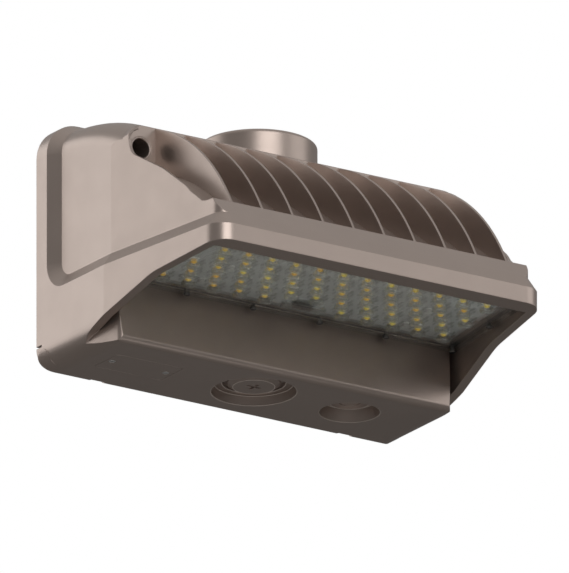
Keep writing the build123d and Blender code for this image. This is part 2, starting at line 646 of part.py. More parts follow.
def lug_notch(x):
    """Room in the barrel for one hinge lug of the wall plate, over the whole swing."""
    half = LUG_WIDTH / 2 + LUG_SIDE_GAP
    across = (x - half, x + half)
    eye = LUG_EYE_RADIUS + LUG_CLEARANCE
    behind = block(across, (-1, HINGE_DEPTH), (BOTTOM - 1, RECESS_BOTTOM + 1))
    above = block(across, (HINGE_DEPTH, RECESS_DEPTH), (HINGE_Z, RECESS_BOTTOM + 1))
    return behind + above + sideways(HINGE_DEPTH, HINGE_Z, eye, *across)


def barrel_relief():
    """Square lower rear edge that the swing has to lose."""
    half = REAR_WIDTH
    corner = block((-half, half), (-1, HINGE_DEPTH), (BOTTOM - 1, HINGE_Z))
    return corner - sideways(HINGE_DEPTH, HINGE_Z, BARREL_RADIUS, -half, half)


def front_housing():
    body = rim_prism(rim_outline(0), WALL_GAP, RIM_DEPTH)
    band = loft([Plane.XZ.offset(RIM_DEPTH) * rim_outline(0),
                 Plane.XZ.offset(RIM_DEPTH + BAND_RUN) * rim_outline(BAND_INSET)], ruled=True)
    lip_band = loft([Pos(0, 0, LIP_TOP) * plan_outline(0), Pos(0, 0, BAND_TOP) * plan_outline(BAND_INSET)],
                    ruled=True)
    lip_band = lip_band & block((-REAR_WIDTH, REAR_WIDTH), (RIM_DEPTH, DEPTH + 1), (LIP_TOP, BAND_TOP))
    cheeks = lower_body() - recess_under_lens()
    body = body + [band, lip_band, cheeks, lower_box(), upper_rear(), upper_front(), side_panels()]
    body = body + band_corners()
    barrel = sideways(HINGE_DEPTH, HINGE_Z, BARREL_RADIUS, -REAR_WIDTH, REAR_WIDTH)
    body = body + (barrel & rim_prism(rim_outline(-BARREL_END_PROUD), 0, RIM_DEPTH)) - barrel_relief()
    body = body - inner_space() - rear_recess() - swing_relief()

    # thick places inside: round seats for the ports, the switches and the photocontrol socket
    seat_low = SEAT_HEIGHT - SEAT_THICKNESS
    half = REAR_WIDTH / 2
    inside = block((-half + WALL, half - WALL), (CAVITY_DEPTH, FIN_WALL_DEPTH), (FLOOR_TOP - 1, TOP_AT_RIM))
    roof_boss = upright(0, CAP_DEPTH, CAP_RADIUS + WALL, seat_low, TOP_AT_RIM - WALL) & inside
    under_roof = side_prism([top_arc(1), Line((FIN_WALL_DEPTH, FIN_WALL_TOP - 1), (FIN_WALL_DEPTH, 0)),
                             Line((FIN_WALL_DEPTH, 0), (0, 0)), Line((0, 0), (0, TOP_AT_RIM - 1))], -half, half)
    body = body + (roof_boss & under_roof)
    body = body + [upright(0, PORT_DEPTH, MAIN_BOSS_RADIUS, BOTTOM + 1, MAIN_MOUTH_TOP) & inside,
                   upright(SIDE_PORT_X, PORT_DEPTH, SIDE_BOSS_RADIUS, BOTTOM + 1, SIDE_SEAT_Z) & inside,
                   block((SWITCH_X - COVER_LENGTH / 2 - WALL, SWITCH_X + COVER_LENGTH / 2 + WALL),
                         (SWITCH_DEPTH - COVER_WIDTH / 2 - WALL, SWITCH_DEPTH + COVER_WIDTH / 2 + WALL),
                         (BOTTOM + 1, SWITCH_BOSS_TOP))]
    shell = plan_prism(plan_outline(BAND_INSET + 1), 0, HEIGHT)
    for side in (-1, 1):
        x, far = side * CLOSING_X, FIN_WALL_DEPTH - 1
        seat = SCREW_SEAT_DEPTH + SLEEVE_HOLD
        rear_boss = outward(x, CLOSING_Z, SLEEVE_BOSS_RADIUS, RECESS_DEPTH, seat)
        front_boss = outward(x, CLOSING_Z, SLEEVE_BOSS_RADIUS, FIN_WALL_DEPTH - WALL - SLEEVE_HOLD, far)
        rib = block(sorted((x, side * (half - CAVITY_INSET + 1))), (RECESS_DEPTH, seat),
                    (CLOSING_Z - SLEEVE_RIB / 2, CLOSING_Z + SLEEVE_RIB / 2))
        body = body + ((rear_boss + front_boss + rib) & shell)
    for x, depth in driver_screw_places():
        body = body + upright(x, depth, SMALL_SCREW_HEAD + 1, PAD_TOP - 1, PAD_TOP + STANDOFF)

    # round seat for the cap
    body = body - upright(0, CAP_DEPTH, CAP_RADIUS + CAP_SIDE_GAP, SEAT_HEIGHT, HEIGHT)
    body = body - upright(0, CAP_DEPTH, SOCKET_RADIUS + SOCKET_GAP, 0, HEIGHT)
    # mouths of the ports
    body = body - upright_cone(0, PORT_DEPTH, BOTTOM, MAIN_PORT_MOUTH, MAIN_MOUTH_TOP, MAIN_PORT_SEAT)
    body = body - upright_cone(SIDE_PORT_X, PORT_DEPTH, BOTTOM, SIDE_PORT_MOUTH, SIDE_SEAT_Z, SIDE_PORT_SEAT)
    # switch cover seat and window
    body = body - plan_prism(cover_outline(COVER_GAP), BOTTOM - 1, COVER_SEAT_Z)
    body = body - plan_prism(window_outline(), BOTTOM, SWITCH_BOSS_TOP + 1)
    body = body - [upright(x, SWITCH_DEPTH, COVER_SCREW_RADIUS, BOTTOM, BOTTOM + COVER_SCREW_LENGTH)
                   for x in cover_screw_places()]
    body = body - [upright(x, depth, SMALL_SCREW_RADIUS, SWITCH_BOSS_TOP - SWITCH_SCREW_GRIP, SWITCH_BOSS_TOP + 1)
                   for x, depth in switch_screw_places()]
    # hinge
    body = body - [lug_notch(x) for x in lug_places()]
    reach = HINGE_PIN_LENGTH / 2 + PIN_END_GAP
    body = body - [sideways(HINGE_DEPTH, HINGE_Z, HINGE_PIN_RADIUS + HINGE_RUNNING_GAP, x - reach, x + reach)
                   for x in lug_places()]
    slit_z = HINGE_Z + SLIT_ABOVE_HINGE
    for side in (-1, 1):
        across = sorted((side * (half - CAVITY_INSET - 1), side * REAR_WIDTH))
        body = body - block(across, (-1, SLIT_LENGTH), (slit_z - SLIT_HEIGHT / 2, slit_z + SLIT_HEIGHT / 2))
        body = body - outward(side * CLOSING_X, CLOSING_Z, SLEEVE_RADIUS, SCREW_SEAT_DEPTH, DEPTH)
        shank = CLOSING_SHANK_RADIUS + SHANK_GAP
        body = body - outward(side * CLOSING_X, CLOSING_Z, shank, 0, SCREW_SEAT_DEPTH + 1)
    # screw holes in the pad
    for x, depth in lens_screw_places():
        body = body - upright(x, depth, LENS_SCREW_RADIUS, PAD_UNDERSIDE - 1, PAD_TOP - 1)
    for x, depth in board_screw_places():
        body = body - upright(x, depth, SMALL_SCREW_RADIUS, PAD_UNDERSIDE - 1, PAD_TOP - 1)
    for x, depth in driver_screw_places():
        body = body - upright(x, depth, SMALL_SCREW_RADIUS, PAD_UNDERSIDE + PAD_SKIN, PAD_TOP + STANDOFF + 1)
    for x, depth in terminal_screw_places() + surge_screw_places():
        body = body - upright(x, depth, SMALL_SCREW_RADIUS, PAD_UNDERSIDE + PAD_SKIN, PAD_TOP + 1)
    body = body - [upright(x, depth, SMALL_SCREW_RADIUS, seat_low + 1, HEIGHT)
                   for x, depth in socket_screw_places()]
    return body - upright(0, ROW_DEPTHS[-1], LEAD_HOLE_RADIUS, PAD_UNDERSIDE - 1, PAD_TOP + 1)


def access_sleeves():
    """Tubes that lead a screwdriver from the front wall to the closing screws."""
    made = []
    for side in (-1, 1):
        tube_body = outward(side * CLOSING_X, CLOSING_Z, SLEEVE_RADIUS, SCREW_SEAT_DEPTH, FIN_WALL_DEPTH)
        tube_body = tube_body - outward(side * CLOSING_X, CLOSING_Z, ACCESS_RADIUS, 0, DEPTH)
        front = tube_body.edges().filter_by(GeomType.CIRCLE).group_by(Axis.Y)[0]
        made.append(chamfer(front.sort_by(lambda edge: edge.radius)[0], SLEEVE_CHAMFER))
    return made


# ================================================================ wall plate and hinge
def lug_places():
    return [-LUG_SPACING / 2, LUG_SPACING / 2]


def plate_border(width):
    """The wall plate's outline, drawn in by a border."""
    offset = CAVITY_INSET + PLATE_CLEARANCE + width
    return rounded_outline(REAR_WIDTH / 2 - offset, RECESS_BOTTOM + GASKET_CLEARANCE + width,
                           HALF_HEIGHT - offset, WALL, RIM_TOP_RADIUS - CAVITY_INSET - width)


def back_plate():
    outline = plate_outline(PLATE_CLEARANCE, GASKET_CLEARANCE)
    plate = rim_prism(outline, 0, PLATE_RIM_DEPTH)
    plate = plate - rim_prism(plate_border(PLATE_RIM_WIDTH), PLATE_THICKNESS, REACH) - wall_gasket()
    for side in (-1, 1):
        plate = plate + outward(side * CLOSING_X, CLOSING_Z, CLOSING_BOSS_RADIUS, PLATE_THICKNESS - 1,
                                CLOSING_BOSS_DEPTH)
        plate = plate - outward(side * CLOSING_X, CLOSING_Z, CLOSING_SHANK_RADIUS + SCREW_FREE_GAP,
                                CLOSING_BOSS_DEPTH - CLOSING_REACH - SCREW_FREE_GAP, CLOSING_BOSS_DEPTH + 1)
    for x in lug_places():
        across = (x - LUG_WIDTH / 2, x + LUG_WIDTH / 2)
        neck = block(across, (HINGE_DEPTH - LUG_EYE_RADIUS, PLATE_RIM_DEPTH), (HINGE_Z, RECESS_BOTTOM + 3))
        lug = neck + sideways(HINGE_DEPTH, HINGE_Z, LUG_EYE_RADIUS, *across)
        plate = plate + lug - sideways(HINGE_DEPTH, HINGE_Z, HINGE_PIN_RADIUS, *across)
    for sx in (-1, 1):
        plate = plate - outward(sx * BOX_HOLE_SPACING / 2, 0, BOX_HOLE_RADIUS, -1, REACH)
        plate = plate - outward(0, sx * BOX_HOLE_SPACING / 2, BOX_HOLE_RADIUS, -1, REACH)
        for sz in (-1, 1):
            plate = plate - outward(sx * CORNER_HOLE_SPACING_X / 2, sz * CORNER_HOLE_SPACING_Z / 2,
                                    CORNER_HOLE_RADIUS, -1, REACH)
    plate = plate - outward(0, CABLE_HOLE_HEIGHT, CABLE_HOLE_RADIUS, -1, REACH)
    return plate - outward(GROUND_SCREW_X, GROUND_SCREW_Z, SMALL_SCREW_RADIUS, 1, REACH)


def wall_gasket():
    """Foam ring set into the rear of the wall plate."""
    outer = rim_prism(plate_border(WALL_GASKET_INSET), 0, WALL_GASKET_DEPTH)
    return outer - rim_prism(plate_border(WALL_GASKET_INSET + WALL_GASKET_WIDTH), -1, REACH)


def housing_gasket():
    outer = rim_prism(plate_outline(PLATE_CLEARANCE, GASKET_CLEARANCE), PLATE_RIM_DEPTH,
                      PLATE_RIM_DEPTH + HOUSING_GASKET_DEPTH)
    return outer - rim_prism(plate_border(SEAL_WIDTH), 0, REACH)


def hinge_pins():
    return [sideways(HINGE_DEPTH, HINGE_Z, HINGE_PIN_RADIUS, x - HINGE_PIN_LENGTH / 2, x + HINGE_PIN_LENGTH / 2)
            for x in lug_places()]


def ground_screw():
    whole = screw(0, 0, 0, SMALL_SCREW_RADIUS, PLATE_THICKNESS - 1, SMALL_SCREW_HEAD, SMALL_HEAD_HEIGHT)
    return [Pos(GROUND_SCREW_X, -PLATE_THICKNESS, GROUND_SCREW_Z) * Rot(-90, 0, 0) * whole]


def captive_screws():
    length = SCREW_SEAT_DEPTH - (CLOSING_BOSS_DEPTH - CLOSING_REACH)
    whole = screw(0, 0, 0, CLOSING_SHANK_RADIUS, length, CLOSING_HEAD_RADIUS, CLOSING_HEAD_HEIGHT)
    return [Pos(side * CLOSING_X, -SCREW_SEAT_DEPTH, CLOSING_Z) * Rot(-90, 0, 0) * whole for side in (-1, 1)]


def captive_rings():
    near = RECESS_DEPTH - RETAINER_GAP - RETAINER_THICKNESS
    made = []
    for side in (-1, 1):
        disc = outward(side * CLOSING_X, CLOSING_Z, RETAINER_RADIUS, near, near + RETAINER_THICKNESS)
        made.append(disc - outward(side * CLOSING_X, CLOSING_Z, CLOSING_SHANK_RADIUS, 0, REACH))
    return made


# ================================================================ light engine
def led_pitch(row):
    """Distance between neighbours in a row, which grows towards the wall as the housing does."""
    return 2 * (side_at(ROW_DEPTHS[row]) - LED_SIDE_INSET) / (LEDS_ACROSS - 1)


def led_places():
    """Every LED's X and depth: staggered rows, without the middle two of the rear row."""
    places = []
    for row, depth in enumerate(ROW_DEPTHS):
        count = LEDS_ACROSS - row % 2
        for index in range(count):
            x = (index - (count - 1) / 2) * led_pitch(row)
            if row == ROW_COUNT - 1 and abs(x) < led_pitch(row):
                continue
            places.append((x, depth))
    return places


def board_screw_places():
    """In the gaps between LEDs, on three of the rows."""
    side = [(sign * 4 * led_pitch(row), ROW_DEPTHS[row]) for row in (2, 4) for sign in (-1, 1)]
    return [(0, ROW_DEPTHS[0])] + side


def lens_rear_depth():
    """Where the lens meets the leaning face of the lower box."""
    lean = BOX_LEAN * (LENS_TOP - BOTTOM) / (LIP_TOP - BOTTOM)
    return BOX_DEPTH - lean + BOX_LEAN * (LENS_TOP - LENS_FACE) / (LIP_TOP - BOTTOM) + LENS_CLEARANCE


def lens_screw_places():
    """Round the lens border: a row along the front, a row along the rear and one at each side."""
    front = LENS_FRONT_DEPTH - LENS_SCREW_INSET
    rear = lens_rear_depth() + LENS_SCREW_INSET
    places = []
    for depth, corner in ((front, LENS_CORNER_INSET), (rear, LENS_SCREW_INSET)):
        reach = side_at(depth, CHEEK_WALL + corner)
        for index in range(LENS_SCREWS_ACROSS):
            places.append((reach * (2 * index / (LENS_SCREWS_ACROSS - 1) - 1), depth))
    middle = (front + rear) / 2 + LENS_SIDE_SCREW_SHIFT
    reach = side_at(middle, CHEEK_WALL + LENS_SCREW_INSET)
    return places + [(-reach, middle), (reach, middle)]


def led_board():
    inset = CHEEK_WALL + BOARD_BORDER
    outline = trapezoid(lens_rear_depth() + BOARD_BORDER, LENS_FRONT_DEPTH - BOARD_BORDER, inset)
    board = plan_prism(outline, BOARD_UNDERSIDE, PAD_UNDERSIDE)
    for x, depth in board_screw_places():
        board = board - upright(x, depth, SMALL_SCREW_RADIUS, BOARD_UNDERSIDE - 1, PAD_UNDERSIDE + 1)
    return board - upright(0, ROW_DEPTHS[-1], LEAD_HOLE_RADIUS, BOARD_UNDERSIDE - 1, PAD_UNDERSIDE + 1)


def led_chips():
    made = []
    for x, depth in led_places():
        base = block((x - CHIP_SIZE / 2, x + CHIP_SIZE / 2), (depth - CHIP_SIZE / 2, depth + CHIP_SIZE / 2),
                     (BOARD_UNDERSIDE - CHIP_HEIGHT, BOARD_UNDERSIDE))
        low = BOARD_UNDERSIDE - CHIP_HEIGHT
        made.append(base + upright(x, depth, DOME_RADIUS, low - DOME_HEIGHT, low))
    return made


def lenslet(x, depth):
    """Clear raised block with sloping sides below one LED."""
    start = Plane(origin=(x, -depth, LENS_FACE), x_dir=(1, 0, 0), z_dir=(0, 0, -1))
    face = start * RectangleRounded(LENSLET_LENGTH, LENSLET_WIDTH, LENSLET_CORNER)
    return extrude(face, amount=LENSLET_HEIGHT, taper=LENSLET_TAPER)


def lens_plate():
    gap = LENS_CLEARANCE
    outline = trapezoid(lens_rear_depth(), LENS_FRONT_DEPTH - gap, CHEEK_WALL + gap)
    plate = plan_prism(outline, LENS_FACE, LENS_TOP)
    border = LENS_SEAL_OFFSET + LENS_SEAL_WIDTH + 1
    pocket = trapezoid(lens_rear_depth() + border, LENS_FRONT_DEPTH - border, CHEEK_WALL + border)
    plate = plate + [lenslet(x, depth) for x, depth in led_places()]
    length, width, height = CONNECTOR_COVER
    half, reach, wall = length / 2, width / 2, CONNECTOR_COVER_WALL
    cover = block((-half, half), (ROW_DEPTHS[-1] - reach, ROW_DEPTHS[-1] + reach),
                  (LENS_FACE - height, LENS_FACE + 1))
    plate = plate + chamfer(cover.edges().filter_by(Axis.Z), wall)
    hollow = block((wall - half, half - wall), (ROW_DEPTHS[-1] - reach + wall, ROW_DEPTHS[-1] + reach - wall),
                   (LENS_FACE - height + wall, LENS_TOP))
    plate = plate - plan_prism(pocket, LENS_TOP - LENS_POCKET, LENS_TOP + 1) - hollow
    for x, depth in lens_screw_places():
        plate = plate - upright(x, depth, LENS_SCREW_RADIUS + LENS_SCREW_GAP, LENS_FACE - 1, LENS_TOP + 1)
    return plate


def lens_gasket():
    def edge(offset):
        return trapezoid(lens_rear_depth() + offset, LENS_FRONT_DEPTH - offset, CHEEK_WALL + offset)
    outer = 1.0
    inner = LENS_SEAL_OFFSET + LENS_SEAL_WIDTH
    seal = plan_prism(edge(outer), LENS_TOP, PAD_UNDERSIDE) - plan_prism(edge(inner), LENS_TOP - 1, PAD_TOP)
    for x, depth in lens_screw_places():
        seal = seal - upright(x, depth, LENS_SCREW_RADIUS + LENS_SCREW_GAP, LENS_TOP - 1, PAD_TOP)
    return seal


def lens_screws():
    length = PAD_TOP - 1 - LENS_FACE
    return [screw(x, depth, LENS_FACE, LENS_SCREW_RADIUS, length, LENS_SCREW_HEAD, LENS_SCREW_HEAD_HEIGHT)
            for x, depth in lens_screw_places()]


def board_screws():
    return [screw(x, depth, BOARD_UNDERSIDE, SMALL_SCREW_RADIUS, PAD_TOP - 1 - BOARD_UNDERSIDE,
                  SMALL_SCREW_HEAD, BOARD_SCREW_HEAD_HEIGHT) for x, depth in board_screw_places()]


def led_connector():
    length, width, height = CONNECTOR_SIZE
    return block((-length / 2, length / 2), (ROW_DEPTHS[-1] - width / 2, ROW_DEPTHS[-1] + width / 2),
                 (BOARD_UNDERSIDE - height, BOARD_UNDERSIDE))


# ================================================================ pieces inside
def driver_screw_places():
    length, width, height = DRIVER_SIZE
    reach = length / 2 + DRIVER_FOOT_LENGTH / 2
    return [(DRIVER_X + sx * reach, DRIVER_DEPTH + sd * width / 4) for sx in (-1, 1) for sd in (-1, 1)]


def driver():
    length, width, height = DRIVER_SIZE
    low = PAD_TOP + STANDOFF
    case = block((DRIVER_X - length / 2, DRIVER_X + length / 2),
                 (DRIVER_DEPTH - width / 2, DRIVER_DEPTH + width / 2), (low, low + height))
    case = fillet(case.edges().filter_by(Axis.X), DRIVER_EDGE_RADIUS)
    foot = length / 2 + DRIVER_FOOT_LENGTH
    feet = block((DRIVER_X - foot, DRIVER_X + foot), (DRIVER_DEPTH - width * 0.4, DRIVER_DEPTH + width * 0.4),
                 (low, low + DRIVER_FOOT_HEIGHT))
    case = case + feet
    for x, depth in driver_screw_places():
        case = case - upright(x, depth, SMALL_SCREW_RADIUS, low - 1, low + DRIVER_FOOT_HEIGHT + 1)
    return case


def screws_down(places, seat, length):
    return [screw(x, depth, seat, SMALL_SCREW_RADIUS, length, SMALL_SCREW_HEAD, SMALL_HEAD_HEIGHT, up=False)
            for x, depth in places]


def driver_screws():
    seat = PAD_TOP + STANDOFF + DRIVER_FOOT_HEIGHT
    return screws_down(driver_screw_places(), seat, seat - PAD_UNDERSIDE - PAD_SKIN)


def terminal_screw_places():
    reach = (TERMINAL_SIZE[0] - TERMINAL_EAR[0]) / 2
    return [(TERMINAL_X - reach, TERMINAL_DEPTH), (TERMINAL_X + reach, TERMINAL_DEPTH)]


def terminal_block():
    """Block with an ear at each end, and a screw hole and a wire entry for each pole."""
    length, width, height = TERMINAL_SIZE
    ear_length, ear_height = TERMINAL_EAR
    whole = block((TERMINAL_X - length / 2, TERMINAL_X + length / 2),
                  (TERMINAL_DEPTH - width / 2, TERMINAL_DEPTH + width / 2), (PAD_TOP, PAD_TOP + height))
    for side in (-1, 1):
        near = TERMINAL_X + side * (length / 2 - ear_length)
        across = sorted((near, TERMINAL_X + side * length))
        whole = whole - block(across, (TERMINAL_DEPTH - width, TERMINAL_DEPTH + width),
                              (PAD_TOP + ear_height, HEIGHT))
    pitch = (length - 2 * ear_length) / TERMINAL_POLES
    bore = pitch * 0.3
    rear = TERMINAL_DEPTH - width / 2
    for pole in range(TERMINAL_POLES):
        x = TERMINAL_X + (pole - (TERMINAL_POLES - 1) / 2) * pitch
        whole = whole - upright(x, TERMINAL_DEPTH, bore, PAD_TOP + height - ear_height, HEIGHT)
        whole = whole - outward(x, PAD_TOP + WIRE_ENTRY_HEIGHT, bore, rear - 1, rear + WIRE_ENTRY_DEPTH)
    for x, depth in terminal_screw_places():
        whole = whole - upright(x, depth, SMALL_SCREW_RADIUS, PAD_TOP - 1, PAD_TOP + ear_height + 1)
    return whole


def terminal_screws():
    seat = PAD_TOP + TERMINAL_EAR[1]
    return screws_down(terminal_screw_places(), seat, seat - PAD_UNDERSIDE - PAD_SKIN)


def surge_screw_places():
    reach = (SURGE_SIZE[0] + SURGE_EAR[0]) / 2
    return [(SURGE_X - reach, SURGE_DEPTH), (SURGE_X + reach, SURGE_DEPTH)]


def surge_protector():
    """Potted block with an ear at each end."""
    length, width, height = SURGE_SIZE
    ear_length, ear_width, ear_height = SURGE_EAR
    case = block((SURGE_X - length / 2, SURGE_X + length / 2),
                 (SURGE_DEPTH - width / 2, SURGE_DEPTH + width / 2), (PAD_TOP, PAD_TOP + height))
    case = fillet(case.edges().filter_by(Axis.Z), SURGE_CORNER)
    reach = length / 2 + ear_length
    case = case + block((SURGE_X - reach, SURGE_X + reach),
                        (SURGE_DEPTH - ear_width / 2, SURGE_DEPTH + ear_width / 2), (PAD_TOP, PAD_TOP + ear_height))
    for x, depth in surge_screw_places():
        case = case - upright(x, depth, SMALL_SCREW_RADIUS, PAD_TOP - 1, PAD_TOP + ear_height + 1)
    return case


def surge_screws():
    seat = PAD_TOP + SURGE_EAR[2]
    return screws_down(surge_screw_places(), seat, seat - PAD_UNDERSIDE - PAD_SKIN)


def led_lead():
    end_x = DRIVER_X + DRIVER_SIZE[0] / 2
    height = PAD_TOP + STANDOFF + DRIVER_SIZE[2] / 2
    return tube([(0, -ROW_DEPTHS[-1], BOARD_UNDERSIDE), (0, -ROW_DEPTHS[-1], height),
                 (end_x, -ROW_DEPTHS[-1], height)], LEAD_RADIUS)


def supply_lead():
    """From the driver round to the near end of the terminal block."""
    start_x = DRIVER_X + DRIVER_SIZE[0] / 2
    end_x = TERMINAL_X - TERMINAL_SIZE[0] / 2 + TERMINAL_EAR[0]
    height = PAD_TOP + TERMINAL_SIZE[2] - TERMINAL_EAR[1]
    from_depth = DRIVER_DEPTH + DRIVER_SIZE[1] / 2 - SUPPLY_LEAD_INSET
    to_depth = TERMINAL_DEPTH + TERMINAL_SIZE[1] * 0.15
    middle = (start_x + end_x) / 2 + SUPPLY_LEAD_SHIFT
    return tube([(start_x, -from_depth, height), (middle, -from_depth, height),
                 (middle, -to_depth, height), (end_x, -to_depth, height)], LEAD_RADIUS)


def socket_lead():
    """From the photocontrol socket down and forward to the terminal block's wire entries."""
    low = SEAT_HEIGHT + SOCKET_GASKET - SOCKET_REACH
    height = PAD_TOP + WIRE_ENTRY_HEIGHT
    near = TERMINAL_DEPTH - TERMINAL_SIZE[1] / 2
    return tube([(SOCKET_LEAD_X, -CAP_DEPTH, low), (SOCKET_LEAD_X, -CAP_DEPTH, height),
                 (TERMINAL_X, -CAP_DEPTH, height), (TERMINAL_X, -near, height)], LEAD_RADIUS)


# ================================================================ ports in the floor
def cross_slot(x, depth, z):
    length, width = CROSS_SLOT_LENGTH / 2, CROSS_SLOT_WIDTH / 2
    level = (z - 1, z + CROSS_SLOT_DEPTH)
    return (block((x - length, x + length), (depth - width, depth + width), level)
            + block((x - width, x + width), (depth - length, depth + length), level))


def port_collars():
    """Rings above the two mouths, which carry the plugs."""
    main = ring(0, PORT_DEPTH, MAIN_COLLAR_RADIUS, MAIN_THREAD_RADIUS, MAIN_MOUTH_TOP, MAIN_NUT_Z)
    side = ring(SIDE_PORT_X, PORT_DEPTH, SIDE_COLLAR_RADIUS, SIDE_THREAD_RADIUS, SIDE_SEAT_Z, SIDE_NUT_Z)
    return [main - upright(0, PORT_DEPTH, MAIN_PORT_INNER, BOTTOM, MAIN_SEAT_Z), side]


def port_plug(x, thread, head, head_height, seat, nut_seat):
    """Screw plug with its head below the seat and a thread that stands above the collar."""
    top = nut_seat + PLUG_REACH
    low = seat - SEAL_RING - head_height
    whole = upright(x, PORT_DEPTH, head, low, seat - SEAL_RING) + upright(x, PORT_DEPTH, thread, low + 1, top)
    return whole, low


def main_port_plug():
    plug, low = port_plug(0, MAIN_THREAD_RADIUS, MAIN_PLUG_RADIUS, MAIN_PLUG_HEIGHT, MAIN_SEAT_Z, MAIN_NUT_Z)
    edge = plug.edges().filter_by(GeomType.CIRCLE).sort_by(Axis.Z)[0]
    plug = chamfer(edge, MAIN_PLUG_SLOPE, MAIN_PLUG_RADIUS - MAIN_PLUG_FACE)
    return plug - cross_slot(0, PORT_DEPTH, low)


def side_port_plug():
    plug, low = port_plug(SIDE_PORT_X, SIDE_THREAD_RADIUS, SIDE_PLUG_RADIUS, SIDE_PLUG_HEIGHT,
                          SIDE_SEAT_Z, SIDE_NUT_Z)
    outer, inner, groove_depth = SIDE_PLUG_GROOVE
    return plug - ring(SIDE_PORT_X, PORT_DEPTH, outer, inner, low - 1, low + groove_depth)


def port_rings():
    """Seals between the plugs and the collars."""
    made = []
    for x, thread, seat in ((0, MAIN_THREAD_RADIUS, MAIN_SEAT_Z), (SIDE_PORT_X, SIDE_THREAD_RADIUS, SIDE_SEAT_Z)):
        made.append(ring(x, PORT_DEPTH, thread + SEAL_RING_WIDTH, thread, seat - SEAL_RING, seat))
    return made


def port_nuts():
    return [hexagon_nut(0, PORT_DEPTH, MAIN_THREAD_RADIUS, MAIN_NUT_Z, NUT_HEIGHT),
            hexagon_nut(SIDE_PORT_X, PORT_DEPTH, SIDE_THREAD_RADIUS, SIDE_NUT_Z, NUT_HEIGHT)]


# ================================================================ switches
def cover_outline(gap):
    return Pos(SWITCH_X, -SWITCH_DEPTH) * RectangleRounded(COVER_LENGTH + 2 * gap, COVER_WIDTH + 2 * gap,
                                                           COVER_CORNER + gap)


def window_outline():
    return Pos(SWITCH_X, -SWITCH_DEPTH) * RectangleRounded(WINDOW_LENGTH, WINDOW_WIDTH, WINDOW_CORNER)


def cover_screw_places():
    return [SWITCH_X - COVER_SCREW_SPACING / 2, SWITCH_X + COVER_SCREW_SPACING / 2]


def switch_cover():
    cover = plan_prism(cover_outline(0), BOTTOM, BOTTOM + COVER_THICKNESS)
    for x in cover_screw_places():
        cover = cover - upright(x, SWITCH_DEPTH, COVER_SCREW_RADIUS, BOTTOM - 1, BOTTOM + COVER_THICKNESS + 1)
        cover = cover - upright(x, SWITCH_DEPTH, COVER_SCREW_HEAD, BOTTOM - 1, BOTTOM + COVER_SCREW_HEAD_HEIGHT)
    return cover


def switch_cover_gasket():
    seal = plan_prism(cover_outline(0), BOTTOM + COVER_THICKNESS, COVER_SEAT_Z)
    seal = seal - plan_prism(window_outline(), BOTTOM, COVER_SEAT_Z + 1)
    for x in cover_screw_places():
        seal = seal - upright(x, SWITCH_DEPTH, COVER_SCREW_RADIUS, BOTTOM, COVER_SEAT_Z + 1)
    return seal


def switch_cover_screws():
    seat = BOTTOM + COVER_SCREW_HEAD_HEIGHT
    return [screw(x, SWITCH_DEPTH, seat, COVER_SCREW_RADIUS, COVER_SCREW_LENGTH - COVER_SCREW_HEAD_HEIGHT,
                  COVER_SCREW_HEAD, COVER_SCREW_HEAD_HEIGHT) for x in cover_screw_places()]


def switch_screw_places():
    along = SWITCH_BOARD[0] / 2 - SWITCH_SCREW_INSET
    across = SWITCH_BOARD[1] / 2 - SWITCH_SCREW_INSET
    return [(SWITCH_X - along, SWITCH_DEPTH - across), (SWITCH_X + along, SWITCH_DEPTH + across)]


def switch_places():
    return [SWITCH_X - SWITCH_SPACING / 2, SWITCH_X + SWITCH_SPACING / 2]


def switch_body_low():
    return SWITCH_BOSS_TOP - SWITCH_BODY[2]


def switch_board():
    """Board on top of the floor's boss, with two switch bodies that hang into the window."""
    length, width, thickness = SWITCH_BOARD
    whole = block((SWITCH_X - length / 2, SWITCH_X + length / 2),
                  (SWITCH_DEPTH - width / 2, SWITCH_DEPTH + width / 2),
                  (SWITCH_BOSS_TOP, SWITCH_BOSS_TOP + thickness))
    body_length, body_width, body_height = SWITCH_BODY
    reach = KNOB_SIZE[0] / 2 + KNOB_TRAVEL + KNOB_GAP
    half = KNOB_SIZE[1] / 2 + KNOB_GAP
    for x in switch_places():
        whole = whole + block((x - body_length / 2, x + body_length / 2),
                              (SWITCH_DEPTH - body_width / 2, SWITCH_DEPTH + body_width / 2),
                              (switch_body_low(), SWITCH_BOSS_TOP))
        whole = whole - block((x - reach, x + reach), (SWITCH_DEPTH - half, SWITCH_DEPTH + half),
                              (switch_body_low() - 1, SWITCH_BOSS_TOP - SWITCH_SLOT_ROOF))
    for x, depth in switch_screw_places():
        whole = whole - upright(x, depth, SMALL_SCREW_RADIUS, SWITCH_BOSS_TOP - 1, SWITCH_BOSS_TOP + thickness + 1)
    return whole


def switch_board_screws():
    seat = SWITCH_BOSS_TOP + SWITCH_BOARD[2]
    return screws_down(switch_screw_places(), seat, SWITCH_BOARD[2] + SWITCH_SCREW_GRIP)


def switch_knob(x):
    length, width, height = KNOB_SIZE
    top = SWITCH_BOSS_TOP - SWITCH_SLOT_ROOF - KNOB_GAP
    knob = block((x - length / 2, x + length / 2), (SWITCH_DEPTH - width / 2, SWITCH_DEPTH + width / 2),
                 (top - height, top))
    return fillet(knob.edges().group_by(Axis.Z)[0], KNOB_EDGE_RADIUS)


